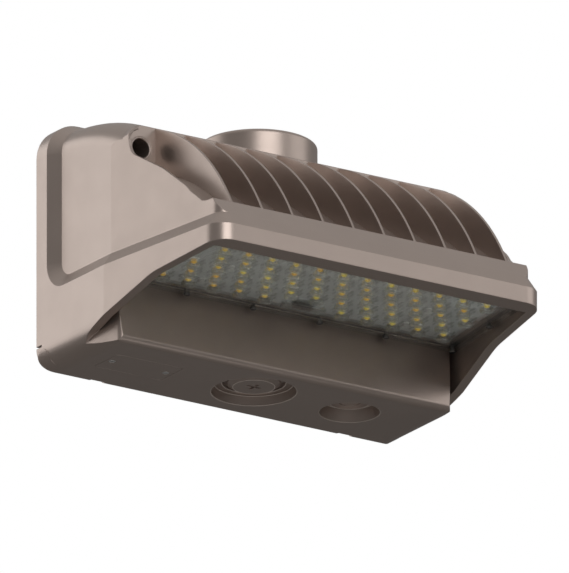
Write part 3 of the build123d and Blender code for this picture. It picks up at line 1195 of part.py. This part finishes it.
# ================================================================ photocontrol socket and cap
def arc_slot(angle, sweep_angle, width, low, high):
    """Curved slot round the cap's axis, centred on an angle in degrees."""
    outer = upright(0, 0, CONTACT_CIRCLE + width / 2, low, high)
    inner = upright(0, 0, CONTACT_CIRCLE - width / 2, low - 1, high + 1)
    reach = 2 * CONTACT_CIRCLE
    half = math.radians(sweep_angle / 2)
    fan = [(0, 0), (reach * math.cos(half), -reach * math.sin(half)),
           (reach / math.cos(half), 0), (reach * math.cos(half), reach * math.sin(half))]
    wedge = plan_prism(make_face(Polyline(*fan, close=True)), low, high)
    return Pos(0, -CAP_DEPTH, 0) * Rot(0, 0, angle) * ((outer - inner) & wedge)


def socket_screw_places():
    return [(-SOCKET_SCREW_CIRCLE, CAP_DEPTH), (SOCKET_SCREW_CIRCLE, CAP_DEPTH)]


def blade_angles():
    """Three blades, a third of a turn apart."""
    return [90 + 360 / BLADE_COUNT * index for index in range(BLADE_COUNT)]


def photocontrol_socket():
    low = SEAT_HEIGHT + SOCKET_GASKET
    top = low + SOCKET_FLANGE
    whole = upright(0, CAP_DEPTH, SOCKET_FLANGE_RADIUS, low, top)
    whole = whole + upright(0, CAP_DEPTH, SOCKET_RADIUS, low - SOCKET_REACH, top)
    slot_arc = BLADE_ARC + CAP_TURN + CONTACT_SLOT_SLACK
    for angle in blade_angles():
        middle = angle + CAP_TURN / 2
        whole = whole - arc_slot(middle, slot_arc, CONTACT_SLOT_WIDTH, top - CONTACT_SLOT_DEPTH, top + 1)
    for x, depth in socket_screw_places():
        whole = whole - upright(x, depth, SMALL_SCREW_RADIUS, low - 1, top + 1)
    return whole


def socket_gasket():
    seal = ring(0, CAP_DEPTH, SOCKET_FLANGE_RADIUS, SOCKET_RADIUS, SEAT_HEIGHT, SEAT_HEIGHT + SOCKET_GASKET)
    for x, depth in socket_screw_places():
        seal = seal - upright(x, depth, SMALL_SCREW_RADIUS, SEAT_HEIGHT - 1, SEAT_HEIGHT + SOCKET_GASKET + 1)
    return seal


def socket_screws():
    seat = SEAT_HEIGHT + SOCKET_GASKET + SOCKET_FLANGE
    low = SEAT_HEIGHT - SEAT_THICKNESS + 1
    return screws_down(socket_screw_places(), seat, seat - low)


def cap_base_low():
    return SEAT_HEIGHT + SOCKET_GASKET + SOCKET_FLANGE + SMALL_HEAD_HEIGHT + CAP_SEAT_GAP


def photocontrol_cap():
    low = SEAT_HEIGHT + CAP_SEAT_GAP
    shell = upright(0, CAP_DEPTH, CAP_RADIUS, low, CAP_TOP)
    shell = fillet(shell.edges().sort_by(Axis.Z)[-1], CAP_EDGE_RADIUS)
    inner = CAP_RADIUS - CAP_WALL
    shell = shell - upright(0, CAP_DEPTH, inner, low - 1, CAP_TOP - CAP_ROOF)
    return shell + upright(0, CAP_DEPTH, inner + 1, cap_base_low(), cap_base_low() + CAP_BASE)


def cap_blades():
    top = cap_base_low()
    low = SEAT_HEIGHT + SOCKET_GASKET + SOCKET_FLANGE - BLADE_LENGTH
    return [arc_slot(angle, BLADE_ARC, BLADE_THICKNESS, low, top) for angle in blade_angles()]


# ================================================================ hand over every piece
def save(name, solids):
    """Write one piece, or a group of identical pieces, as one file."""
    shapes = solids if isinstance(solids, list) else [solids]
    loose = [solid for shape in shapes for solid in shape.solids()]
    export_step(loose[0] if len(loose) == 1 else Compound(children=loose), "parts/" + name + ".step")


save("front_housing", front_housing())
save("cooling_fins", fins())
save("access_sleeves", access_sleeves())
save("back_plate", back_plate())
save("wall_gasket", wall_gasket())
save("housing_gasket", housing_gasket())
save("hinge_pins", hinge_pins())
save("ground_screw", ground_screw())
save("captive_screws", captive_screws())
save("captive_rings", captive_rings())
save("led_board", led_board())
save("led_chips", led_chips())
save("led_connector", led_connector())
save("board_screws", board_screws())
save("lens_plate", lens_plate())
save("lens_gasket", lens_gasket())
save("lens_screws", lens_screws())
save("led_driver", driver())
save("driver_screws", driver_screws())
save("terminal_block", terminal_block())
save("terminal_screws", terminal_screws())
save("surge_protector", surge_protector())
save("surge_screws", surge_screws())
save("led_lead", led_lead())
save("supply_lead", supply_lead())
save("socket_lead", socket_lead())
save("port_collars", port_collars())
save("main_port_plug", main_port_plug())
save("side_port_plug", side_port_plug())
save("port_rings", port_rings())
save("port_nuts", port_nuts())
save("switch_cover", switch_cover())
save("switch_cover_gasket", switch_cover_gasket())
save("switch_cover_screws", switch_cover_screws())
save("switch_board", switch_board())
save("switch_board_screws", switch_board_screws())
save("colour_knob", switch_knob(switch_places()[0]))
save("power_knob", switch_knob(switch_places()[1]))
save("photocontrol_socket", photocontrol_socket())
save("socket_gasket", socket_gasket())
save("socket_screws", socket_screws())
save("photocontrol_cap", photocontrol_cap())
save("cap_blades", cap_blades())
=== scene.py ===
import itertools
import json
import math

import bmesh
import bpy
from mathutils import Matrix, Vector, geometry


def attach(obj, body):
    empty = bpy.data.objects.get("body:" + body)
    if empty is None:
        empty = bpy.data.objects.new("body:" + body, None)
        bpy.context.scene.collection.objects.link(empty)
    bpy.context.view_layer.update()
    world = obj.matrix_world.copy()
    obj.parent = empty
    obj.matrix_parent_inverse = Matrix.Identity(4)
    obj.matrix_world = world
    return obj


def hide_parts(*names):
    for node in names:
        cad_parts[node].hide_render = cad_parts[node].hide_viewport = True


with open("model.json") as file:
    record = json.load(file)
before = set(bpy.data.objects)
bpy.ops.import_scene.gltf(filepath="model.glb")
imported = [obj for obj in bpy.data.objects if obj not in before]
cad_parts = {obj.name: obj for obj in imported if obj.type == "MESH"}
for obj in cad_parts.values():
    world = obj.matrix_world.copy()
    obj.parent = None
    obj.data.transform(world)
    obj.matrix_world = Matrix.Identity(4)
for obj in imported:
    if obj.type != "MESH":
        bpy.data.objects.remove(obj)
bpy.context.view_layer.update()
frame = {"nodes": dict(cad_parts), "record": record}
NODES = frame["nodes"]
MM = 0.001

# The photograph is a parallel view from the left, in front and below.
PICTURE_WIDTH = 569
PICTURE_HEIGHT = 573
MM_PER_PIXEL = 0.744
CAMERA_AZIMUTH = -33.3
CAMERA_ELEVATION = -19.2
ORIGIN_PIXEL = (215.8, 287.6)      # where the frame's origin lies in the picture
CAMERA_DISTANCE = 0.75
FLOOR_HEIGHT = -0.62
EDGE_RADIUS = 0.0008               # soft edges of the casting
CLEAR_SHARE = 0.60                 # part of the light that the lens doesn't bend
MIRRORED_SHARE = 0.06              # how much of the white background the paint mirrors

# Light engine, in millimetres, as the CAD source has it
REAR_HALF_WIDTH = 160.0
TAPER_START = 91.5
TAPER = 15.5 / 132.4
ROW_COUNT = 5
ROW_SPACING = 17.9
FIRST_ROW_DEPTH = 190.0
LEDS_ACROSS = 12
LED_SIDE_INSET = 31.9
LENS_FACE = -49.2
LENS_BACK = -46.6
LENS_REAR_DEPTH = 91.6
LENS_FRONT_DEPTH = 208.5
LENS_SIDE_INSET = 8.0
LENSLET_SIZE = (10.4, 8.2, 4.0)
LENSLET_CORNER = 2.0
CONNECTOR_COVER = (36.0, 12.0, 2.6)
BOARD_UNDERSIDE = -45.0
LENS_WALL = 1.1                    # lenslets are hollow
RIB_DEPTHS = (100.4, 104.0, 200.6)
RIB_SIZE = (0.9, 0.7)              # width and height
RIB_END_GAP = 23.0                 # rib's end to the housing's side
DARK_MARK_HEIGHT = 0.5
CHIP_SIZE = 6.4
CHIP_HEIGHT = 0.7
DOME_RADIUS = 2.75
DOME_DROP = 3.4
DARK_MARK_RADII = ((9.0, 6.9), (7.3, 6.0))     # dark marks right and left of each LED

# Round ports in the bottom face: X, radius and height above that face of each turned edge, where a thin pale
# ring is a painted highlight
BOTTOM_FACE = -97.2
PORT_DEPTH = 51.5
SIDE_PORT_X = 85.2
# tube radius of the pale rings that paint the edges' highlights
HIGHLIGHT_RING_TUBE = 0.42
PORT_EDGE_HIGHLIGHTS = ((0, 32.3, 0.45), (0, 24.1, 7.3), (0, 15.7, 4.0), (0, 29.9, 7.0),
              (SIDE_PORT_X, 23.0, 0.45), (SIDE_PORT_X, 14.9, 7.9), (SIDE_PORT_X, 19.8, 9.9))


# ---------------------------------------------------------------- materials
class Shader:
    """A node material with a Principled shader, and short ways to add to it."""

    def __init__(self, name):
        self.material = bpy.data.materials.new(name)
        self.material.use_nodes = True
        self.tree = self.material.node_tree
        self.bsdf = self.tree.nodes["Principled BSDF"]
        self.place = self.add("ShaderNodeTexCoord").outputs["Object"]

    def add(self, kind, **values):
        node = self.tree.nodes.new(kind)
        for key, value in values.items():
            if hasattr(node, key):
                setattr(node, key, value)
            else:
                node.inputs[key.replace("_", " ").title()].default_value = value
        return node

    def link(self, source, target):
        self.tree.links.new(source, target)

    def set(self, **values):
        for key, value in values.items():
            self.bsdf.inputs[key.replace("_", " ")].default_value = value

    def noise(self, scale, detail=3.0, roughness=0.5, place=None):
        node = self.add("ShaderNodeTexNoise", Scale=scale, Detail=detail, Roughness=roughness)
        self.link(place or self.place, node.inputs["Vector"])
        return node.outputs["Fac"]

    def spread(self, value, low, high, to_low=0.0, to_high=1.0):
        node = self.add("ShaderNodeMapRange")
        limits = (("From Min", low), ("From Max", high), ("To Min", to_low), ("To Max", to_high))
        for key, number in limits:
            node.inputs[key].default_value = number
        self.link(value, node.inputs["Value"])
        return node.outputs["Result"]

    def mix(self, share, first, second):
        node = self.add("ShaderNodeMix", data_type="RGBA")
        for socket, value in ((node.inputs[0], share), (node.inputs[6], first), (node.inputs[7], second)):
            if isinstance(value, bpy.types.NodeSocket):
                self.link(value, socket)
            else:
                socket.default_value = value
        return node.outputs[2]

    def bump(self, height, strength, distance):
        node = self.add("ShaderNodeBump", Strength=strength, Distance=distance)
        self.link(height, node.inputs["Height"])
        self.link(node.outputs["Normal"], self.bsdf.inputs["Normal"])


def side_at(depth, inset=0.0):
    """Half width of the housing at a depth, drawn in by an inset."""
    closing = REAR_HALF_WIDTH - TAPER * (depth - TAPER_START) - inset * math.hypot(1, TAPER)
    return min(REAR_HALF_WIDTH - inset, closing)


def led_places():
    """Every LED's X and depth: staggered rows, without the middle two of the rear row."""
    places = []
    for row in range(ROW_COUNT):
        depth = FIRST_ROW_DEPTH - row * ROW_SPACING
        pitch = 2 * (side_at(depth) - LED_SIDE_INSET) / (LEDS_ACROSS - 1)
        count = LEDS_ACROSS - row % 2
        for index in range(count):
            x = (index - (count - 1) / 2) * pitch
            if row < ROW_COUNT - 1 or abs(x) > pitch:
                places.append((x, depth))
    return places


def shade(color, factor):
    return tuple(min(1.0, c * factor) for c in color[:3]) + (1.0,)


def powder_coat(name, color, roughness=0.36, metallic=0.82):
    """Satin bronze powder coat: fine orange peel, faint clouding and a slight sparkle."""
    s = Shader(name)
    cloud = s.noise(14.0, 4.0, 0.6)
    fleck = s.spread(s.noise(5200.0, 1.0), 0.55, 0.75)
    base = s.mix(s.spread(cloud, 0.3, 0.7), shade(color, 0.965), shade(color, 1.035))
    sparkle = s.mix(s.spread(fleck, 0.0, 1.0, 0.0, 0.22), base, shade(color, 1.25))
    s.link(sparkle, s.bsdf.inputs["Base Color"])
    gloss = s.spread(s.noise(60.0, 3.0), 0.3, 0.7, roughness - 0.025, roughness + 0.025)
    s.link(gloss, s.bsdf.inputs["Roughness"])
    soft = s.add("ShaderNodeBevel", Radius=EDGE_RADIUS)
    soft.samples = 8
    grain = s.add("ShaderNodeBump", Strength=0.16, Distance=0.00012)
    s.link(s.noise(1500.0, 2.0), grain.inputs["Height"])
    s.link(soft.outputs["Normal"], grain.inputs["Normal"])
    s.link(grain.outputs["Normal"], s.bsdf.inputs["Normal"])
    s.set(Metallic=metallic)
    return s.material


def metal(name, color, roughness):
    s = Shader(name)
    grain = s.noise(900.0, 3.0)
    tone = s.mix(s.spread(grain, 0.3, 0.7), shade(color, 0.92), shade(color, 1.05))
    s.link(tone, s.bsdf.inputs["Base Color"])
    s.link(s.spread(grain, 0.3, 0.7, roughness - 0.05, roughness + 0.06), s.bsdf.inputs["Roughness"])
    s.bump(s.noise(2600.0, 2.0), 0.12, 0.00006)
    s.set(Metallic=1.0)
    return s.material


def moulded(name, color, roughness, grain=1200.0, depth=0.12):
    s = Shader(name)
    cloud = s.noise(30.0, 3.0)
    tone = s.mix(s.spread(cloud, 0.3, 0.7), shade(color, 0.9), shade(color, 1.08))
    s.link(tone, s.bsdf.inputs["Base Color"])
    gloss = s.spread(s.noise(90.0), 0.3, 0.7, roughness - 0.04, roughness + 0.04)
    s.link(gloss, s.bsdf.inputs["Roughness"])
    s.bump(s.noise(grain, 2.0), depth, 0.0001)
    return s.material


def circuit_board(name, color):
    """Pale solder mask with faint copper areas showing through it."""
    s = Shader(name)
    cells = s.add("ShaderNodeTexVoronoi", Scale=95.0)
    cells.distance = "CHEBYCHEV"
    s.link(s.place, cells.inputs["Vector"])
    traces = s.spread(cells.outputs["Distance"], 0.42, 0.46)
    speck = s.spread(s.noise(700.0), 0.35, 0.65)
    board = s.mix(speck, shade(color, 0.93), shade(color, 1.05))
    tone = s.mix(s.spread(traces, 0.0, 1.0, 0.0, 0.35), board, shade(color, 0.72))
    s.link(tone, s.bsdf.inputs["Base Color"])
    s.set(Roughness=0.42)
    s.bump(traces, 0.3, 0.00004)
    return s.material


def phosphor(name, pale, deep):
    """Yellow LED: deeper colour towards orange at random from chip to chip."""
    s = Shader(name)
    blotch = s.noise(55.0, 1.0)
    tone = s.mix(s.spread(blotch, 0.38, 0.62), deep, pale)
    s.link(tone, s.bsdf.inputs["Base Color"])
    s.set(Roughness=0.35)
    s.bump(s.noise(3000.0), 0.2, 0.00005)
    return s.material


def clear_plastic(name, tint):
    """Clear polycarbonate: seen straight through, with a gloss that grows at grazing angles."""
    s = Shader(name)
    s.set(Roughness=0.04, IOR=1.5, Metallic=0.0)
    s.bsdf.inputs["Transmission Weight"].default_value = 1.0
    s.link(s.mix(s.noise(40.0), shade(tint, 0.96), shade(tint, 1.0)), s.bsdf.inputs["Base Color"])
    s.bump(s.noise(220.0, 2.0), 0.05, 0.00006)
    clear = s.add("ShaderNodeBsdfTransparent")
    clear.inputs["Color"].default_value = tint
    path = s.add("ShaderNodeLightPath")
    straight = s.add("ShaderNodeMixShader")
    straight.inputs[0].default_value = CLEAR_SHARE
    s.link(s.bsdf.outputs[0], straight.inputs[1])
    s.link(clear.outputs[0], straight.inputs[2])
    both = s.add("ShaderNodeMixShader")
    s.link(path.outputs["Is Shadow Ray"], both.inputs[0])
    s.link(straight.outputs[0], both.inputs[1])
    s.link(clear.outputs[0], both.inputs[2])
    s.link(both.outputs[0], s.tree.nodes["Material Output"].inputs["Surface"])
    return s.material


BRONZE = (0.43, 0.355, 0.315, 1.0)
MATERIALS = {
    "bronze_paint": powder_coat("bronze_powder_coat", BRONZE),
    # pale colour of the rings that paint highlights along the ports' edges
    "edge_highlight_paint": moulded("painted_edge_highlight", (0.62, 0.54, 0.48, 1.0), 0.4),
    "clear_lens": clear_plastic("clear_polycarbonate", (0.96, 0.965, 0.95, 1.0)),
    "rubber_seal": moulded("black_silicone", (0.03, 0.03, 0.03, 1.0), 0.6),
    "steel": metal("stainless_steel", (0.72, 0.71, 0.69, 1.0), 0.30),
    "brass": metal("brass", (0.78, 0.58, 0.28, 1.0), 0.32),
    "board_grey": circuit_board("pale_circuit_board", (0.42, 0.435, 0.43, 1.0)),
    "led_yellow": phosphor("led_phosphor", (1.0, 0.80, 0.16, 1.0), (1.0, 0.60, 0.10, 1.0)),
    "black_plastic": moulded("black_moulding", (0.035, 0.035, 0.035, 1.0), 0.45),
    "dark_steel": metal("blackened_steel", (0.16, 0.155, 0.15, 1.0), 0.38),
    "driver_case": metal("driver_case", (0.70, 0.71, 0.72, 1.0), 0.42),
    "white_plastic": moulded("white_moulding", (0.80, 0.80, 0.78, 1.0), 0.4),
    "lead_jacket": moulded("lead_jacket", (0.05, 0.05, 0.055, 1.0), 0.5, 400.0),
}


def dress_cad_nodes():
    """Every carried-over node gets the material of its slot in the record."""
    slot_of = {row["node"]: row["material_slot"] for row in frame["record"]["subparts"]}
    slot_of["lens_screws"] = "dark_steel"
    for name, node in NODES.items():
        node.data.materials.clear()
        node.data.materials.append(MATERIALS[slot_of[name]])


# ---------------------------------------------------------------- pieces
def rounded_rectangle(x, depth, length, width, corner, steps=4):
    """Points round a rectangle with rounded corners, seen from above."""
    points = []
    for quarter in range(4):
        sx, sy = ((1, 1), (-1, 1), (-1, -1), (1, -1))[quarter]
        for step in range(steps + 1):
            angle = math.radians(90 * quarter + 90 * step / steps)
            points.append((x + sx * (length / 2 - corner) + corner * math.cos(angle),
                           -depth + sy * (width / 2 - corner) + corner * math.sin(angle)))
    return points


def shrunk(points, amount):
    """The same outline, drawn in towards its middle by an amount along X and Y."""
    cx = sum(x for x, y in points) / len(points)
    cy = sum(y for x, y in points) / len(points)
    half_x = max(abs(x - cx) for x, y in points)
    half_y = max(abs(y - cy) for x, y in points)
    return [(cx + (x - cx) * (1 - amount / half_x), cy + (y - cy) * (1 - amount / half_y)) for x, y in points]


def new_piece(name, mesh, material, body, slot, *replaced):
    thing = bpy.data.objects.new(name, mesh)
    bpy.context.scene.collection.objects.link(thing)
    mesh.materials.append(MATERIALS[material])
    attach(thing, body)
    if replaced:
        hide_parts(*replaced)


def finished(work, name, sharp_angle=None):
    """Turn a bmesh into a mesh, smooth up to an angle where one is given."""
    mesh = bpy.data.meshes.new(name)
    work.to_mesh(mesh)
    work.free()
    if sharp_angle:
        mesh.shade_smooth()
        mesh.set_sharp_from_angle(angle=math.radians(sharp_angle))
    return mesh


def lens_features():
    """What stands out of the lens face: outline, height, how far its edge is rounded, and its wall."""
    length, width, height = LENSLET_SIZE
    for x, depth in led_places():
        yield rounded_rectangle(x, depth, length, width, LENSLET_CORNER), height, 0.9, LENS_WALL
    rear_row = FIRST_ROW_DEPTH - (ROW_COUNT - 1) * ROW_SPACING
    length, width, height = CONNECTOR_COVER
    yield rounded_rectangle(0, rear_row, length, width, 1.5), height, 0.5, LENS_WALL
    for depth in RIB_DEPTHS:
        width, height = RIB_SIZE
        yield rounded_rectangle(0, depth, 2 * (side_at(depth) - RIB_END_GAP), width, 0.4, 2), height, 0.2, 0


def moulded_side(verts, faces, border, features, z):
    """One face of the lens: flat between the features, with each of them drawn down from it."""
    loops = [border] + [outline for outline, height, edge in features]
    first = len(verts)
    verts.extend((x * MM, y * MM, z * MM) for loop in loops for x, y in loop)
    flat = geometry.tessellate_polygon([[Vector((x, y, 0)) for x, y in loop] for loop in loops])
    faces.extend(tuple(first + i for i in triangle) for triangle in flat)
    at = first + len(border)
    for outline, height, edge in features:
        ring = list(range(at, at + len(outline)))
        at += len(outline)
        for inset, rise in ((0.25, 0.72), (0.25 + edge * 0.35, 0.9), (0.25 + edge, 0.98)):
            above = list(range(len(verts), len(verts) + len(outline)))
            verts.extend((x * MM, y * MM, (z - height * rise) * MM) for x, y in shrunk(outline, inset))
            faces.extend((ring[i - 1], ring[i], above[i], above[i - 1]) for i in range(len(ring)))
            ring = above
        middle = [sum(p[k] for p in outline) / len(outline) for k in (0, 1)]
        verts.append((middle[0] * MM, middle[1] * MM, (z - height) * MM))
        faces.extend((ring[i - 1], ring[i], len(verts) - 1) for i in range(len(ring)))
    return list(range(first, first + len(border)))


def detailed_lens():
    """One closed moulding: a plate, a hollow block below each LED, ribs and the connector's cover."""
    rear, front = (side_at(d, LENS_SIDE_INSET) for d in (LENS_REAR_DEPTH, LENS_FRONT_DEPTH))
    border = [(-rear, -LENS_REAR_DEPTH), (-front, -LENS_FRONT_DEPTH),
              (front, -LENS_FRONT_DEPTH), (rear, -LENS_REAR_DEPTH)]
    features = list(lens_features())
    outside = [(outline, height, edge) for outline, height, edge, wall in features]
    inside = [(shrunk(outline, wall), LENS_BACK - LENS_FACE + height - wall, edge)
              for outline, height, edge, wall in features if wall]
    verts, faces = [], []
    lower = moulded_side(verts, faces, border, outside, LENS_FACE)
    upper = moulded_side(verts, faces, border, inside, LENS_BACK)
    faces.extend((lower[i - 1], lower[i], upper[i], upper[i - 1]) for i in range(4))
    mesh = bpy.data.meshes.new("detailed_lens")
    mesh.from_pydata(verts, [], faces)
    work = bmesh.new()
    work.from_mesh(mesh)
    bmesh.ops.recalc_face_normals(work, faces=work.faces)
    bpy.data.meshes.remove(mesh)
    mesh = finished(work, "detailed_lens", 28)
    new_piece("detailed_lens", mesh, "clear_lens", "housing", "clear_lens", "lens_plate")


def led_packages():
    """The pale square package that carries each dome."""
    work = bmesh.new()
    for x, depth in led_places():
        chip = bmesh.ops.create_cube(work, size=1.0)["verts"]
        bmesh.ops.scale(work, vec=(CHIP_SIZE * MM, CHIP_SIZE * MM, CHIP_HEIGHT * MM), verts=chip)
        middle = Vector((x, -depth, BOARD_UNDERSIDE - CHIP_HEIGHT / 2)) * MM
        bmesh.ops.translate(work, vec=middle, verts=chip)
    new_piece("led_packages", finished(work, "led_packages"), "white_plastic", "housing", "white_plastic")


def detailed_leds():
    """A rounded phosphor dome below each package."""
    work = bmesh.new()
    rings, around = 6, 20
    for x, depth in led_places():
        ring = None
        for step in range(rings + 1):
            angle = math.pi / 2 * step / rings
            radius, drop = DOME_RADIUS * math.cos(angle), DOME_DROP * math.sin(angle)
            z = (BOARD_UNDERSIDE - CHIP_HEIGHT - drop) * MM
            if step == rings:
                tip = work.verts.new((x * MM, -depth * MM, z))
                for i in range(around):
                    work.faces.new((ring[i - 1], ring[i], tip))
                break
            turn = [2 * math.pi * i / around for i in range(around)]
            new = [work.verts.new(((x + radius * math.cos(t)) * MM, (radius * math.sin(t) - depth) * MM, z))
                   for t in turn]
            if ring:
                for i in range(around):
                    work.faces.new((ring[i - 1], ring[i], new[i], new[i - 1]))
            else:
                work.faces.new(new)
            ring = new
    bmesh.ops.recalc_face_normals(work, faces=work.faces)
    mesh = finished(work, "detailed_leds", 40)
    new_piece("detailed_leds", mesh, "led_yellow", "housing", "led_yellow", "led_chips")


def led_dark_marks():
    """Small dark curved marks below the board, on both sides of each LED."""
    work = bmesh.new()
    for (x, depth), side in itertools.product(led_places(), (1, -1)):
        outer, inner = DARK_MARK_RADII[side < 0]
        outline = []
        for radius, angles in ((outer, range(-32, 33, 8)), (inner, range(32, -33, -8))):
            outline += [(x + side * radius * math.cos(math.radians(a)),
                         -depth + radius * math.sin(math.radians(a))) for a in angles]
        bottom = (BOARD_UNDERSIDE - DARK_MARK_HEIGHT) * MM
        low = [work.verts.new((px * MM, py * MM, bottom)) for px, py in outline]
        high = [work.verts.new((px * MM, py * MM, BOARD_UNDERSIDE * MM)) for px, py in outline]
        work.faces.new(low)
        work.faces.new(reversed(high))
        for i in range(len(low)):
            j = (i + 1) % len(low)
            work.faces.new((low[j], low[i], high[i], high[j]))
    bmesh.ops.recalc_face_normals(work, faces=work.faces)
    new_piece("led_dark_marks", finished(work, "led_dark_marks"), "black_plastic", "housing", "black_plastic")


def port_edge_highlights():
    """Painted highlights: thin pale rings along the turned edges of the two round ports and of the plugs in
    them.
    """
    around, thick = 96, 8
    verts, faces = [], []
    for x, radius, rise in PORT_EDGE_HIGHLIGHTS:
        first = len(verts)
        for i in range(around):
            turn = 2 * math.pi * i / around
            for j in range(thick):
                tilt = 2 * math.pi * j / thick
                reach = radius + HIGHLIGHT_RING_TUBE * math.cos(tilt)
                verts.append(((x + reach * math.cos(turn)) * MM, (reach * math.sin(turn) - PORT_DEPTH) * MM,
                              (BOTTOM_FACE + rise + HIGHLIGHT_RING_TUBE * math.sin(tilt)) * MM))
        for i in range(around):
            for j in range(thick):
                here, there = first + i * thick, first + (i + 1) % around * thick
                faces.append((here + j, there + j, there + (j + 1) % thick, here + (j + 1) % thick))
    mesh = bpy.data.meshes.new("port_edge_highlights")
    mesh.from_pydata(verts, [], faces)
    mesh.shade_smooth()
    new_piece("port_edge_highlights", mesh, "edge_highlight_paint", "housing", "bronze_paint")


# ---------------------------------------------------------------- the stage
def area_lamp(name, azimuth, elevation, distance, size, power):
    """Soft box that faces the object, from a bearing: 0 is in front, -90 is to the left."""
    lamp = bpy.data.lights.new(name, "AREA")
    lamp.shape = "RECTANGLE"
    lamp.size, lamp.size_y = size
    lamp.energy = power
    thing = bpy.data.objects.new(name, lamp)
    a, e = math.radians(azimuth), math.radians(elevation)
    back = Vector((math.sin(a) * math.cos(e), -math.cos(a) * math.cos(e), math.sin(e)))
    thing.location = back * distance
    thing.rotation_mode = "QUATERNION"
    thing.rotation_quaternion = (-back).to_track_quat("-Z", "Y")
    bpy.context.scene.collection.objects.link(thing)


def shown_rays(tree):
    """1 for rays from the camera and through clear plastic, and a small share for mirrored rays."""
    path = tree.nodes.new("ShaderNodeLightPath")
    total = path.outputs["Is Camera Ray"]
    for name, share in (("Is Glossy Ray", MIRRORED_SHARE), ("Is Transmission Ray", 1.0)):
        step = tree.nodes.new("ShaderNodeMath")
        step.operation = "MULTIPLY_ADD"
        step.use_clamp = True
        step.inputs[1].default_value = share
        tree.links.new(path.outputs[name], step.inputs[0])
        tree.links.new(total, step.inputs[2])
        total = step.outputs[0]
    return total


def make_world():
    """Plain grey surroundings, brighter overhead, and white where the camera sees them."""
    world = bpy.data.worlds.new("studio")
    bpy.context.scene.world = world
    world.use_nodes = True
    tree = world.node_tree
    tree.nodes.clear()
    place = tree.nodes.new("ShaderNodeTexCoord")
    split = tree.nodes.new("ShaderNodeSeparateXYZ")
    tree.links.new(place.outputs["Generated"], split.inputs[0])
    ramp = tree.nodes.new("ShaderNodeMapRange")
    for key, value in (("From Min", 0.1), ("From Max", 0.95), ("To Min", 0.09), ("To Max", 0.52)):
        ramp.inputs[key].default_value = value
    tree.links.new(split.outputs["Z"], ramp.inputs["Value"])
    grey = tree.nodes.new("ShaderNodeBackground")
    grey.inputs["Color"].default_value = (1.0, 0.985, 0.97, 1.0)
    tree.links.new(ramp.outputs["Result"], grey.inputs["Strength"])
    white = tree.nodes.new("ShaderNodeBackground")
    white.inputs["Color"].default_value = (1.0, 1.0, 1.0, 1.0)
    mix = tree.nodes.new("ShaderNodeMixShader")
    out = tree.nodes.new("ShaderNodeOutputWorld")
    tree.links.new(shown_rays(tree), mix.inputs[0])
    tree.links.new(grey.outputs[0], mix.inputs[1])
    tree.links.new(white.outputs[0], mix.inputs[2])
    tree.links.new(mix.outputs[0], out.inputs["Surface"])


def make_floor():
    """Plain pale floor, well below the object."""
    mesh = bpy.data.meshes.new("floor")
    half = 3.0
    corners = [(-half, -half, FLOOR_HEIGHT), (half, -half, FLOOR_HEIGHT),
               (half, half, FLOOR_HEIGHT), (-half, half, FLOOR_HEIGHT)]
    mesh.from_pydata(corners, [], [(0, 1, 2, 3)])
    floor = bpy.data.objects.new("floor", mesh)
    bpy.context.scene.collection.objects.link(floor)
    s = Shader("pale_floor")
    tone = s.mix(s.noise(3.0), (0.80, 0.80, 0.79, 1.0), (0.84, 0.84, 0.83, 1.0))
    s.link(s.mix(shown_rays(s.tree), (0.16, 0.155, 0.15, 1.0), tone), s.bsdf.inputs["Base Color"])
    s.set(Roughness=0.9)
    mesh.materials.append(s.material)


def make_lamps():
    area_lamp("front_soft_box", -12, 14, 2.4, (1.8, 1.5), 22)
    area_lamp("rear_left_soft_box", -147, 18, 2.6, (3.4, 2.0), 26)
    area_lamp("right_fill", 50, 16, 2.8, (2.0, 1.6), 10)
    area_lamp("low_front_strip", -30, -62, 0.66, (1.0, 0.3), 0.75)


def make_camera():
    """Parallel camera whose axis passes the photograph's centre."""
    data = bpy.data.cameras.new("camera")
    data.type = "ORTHO"
    data.ortho_scale = max(PICTURE_WIDTH, PICTURE_HEIGHT) * MM_PER_PIXEL * MM
    camera = bpy.data.objects.new("camera", data)
    bpy.context.scene.collection.objects.link(camera)
    a, e = math.radians(CAMERA_AZIMUTH), math.radians(CAMERA_ELEVATION)
    back = Vector((math.sin(a) * math.cos(e), -math.cos(a) * math.cos(e), math.sin(e)))
    turn = (-back).to_track_quat("-Z", "Y")
    right, up = turn @ Vector((1, 0, 0)), turn @ Vector((0, 1, 0))
    across = (PICTURE_WIDTH / 2 - ORIGIN_PIXEL[0]) * MM_PER_PIXEL * MM
    rise = (ORIGIN_PIXEL[1] - PICTURE_HEIGHT / 2) * MM_PER_PIXEL * MM
    camera.rotation_mode = "QUATERNION"
    camera.rotation_quaternion = turn
    camera.location = right * across + up * rise + back * CAMERA_DISTANCE
    data.clip_start, data.clip_end = 0.01, 10.0
    bpy.context.scene.camera = camera


dress_cad_nodes()
detailed_lens()
led_packages()
detailed_leds()
led_dark_marks()
port_edge_highlights()
make_world()
make_floor()
make_lamps()
make_camera()
bpy.context.scene.view_settings.view_transform = "Standard"
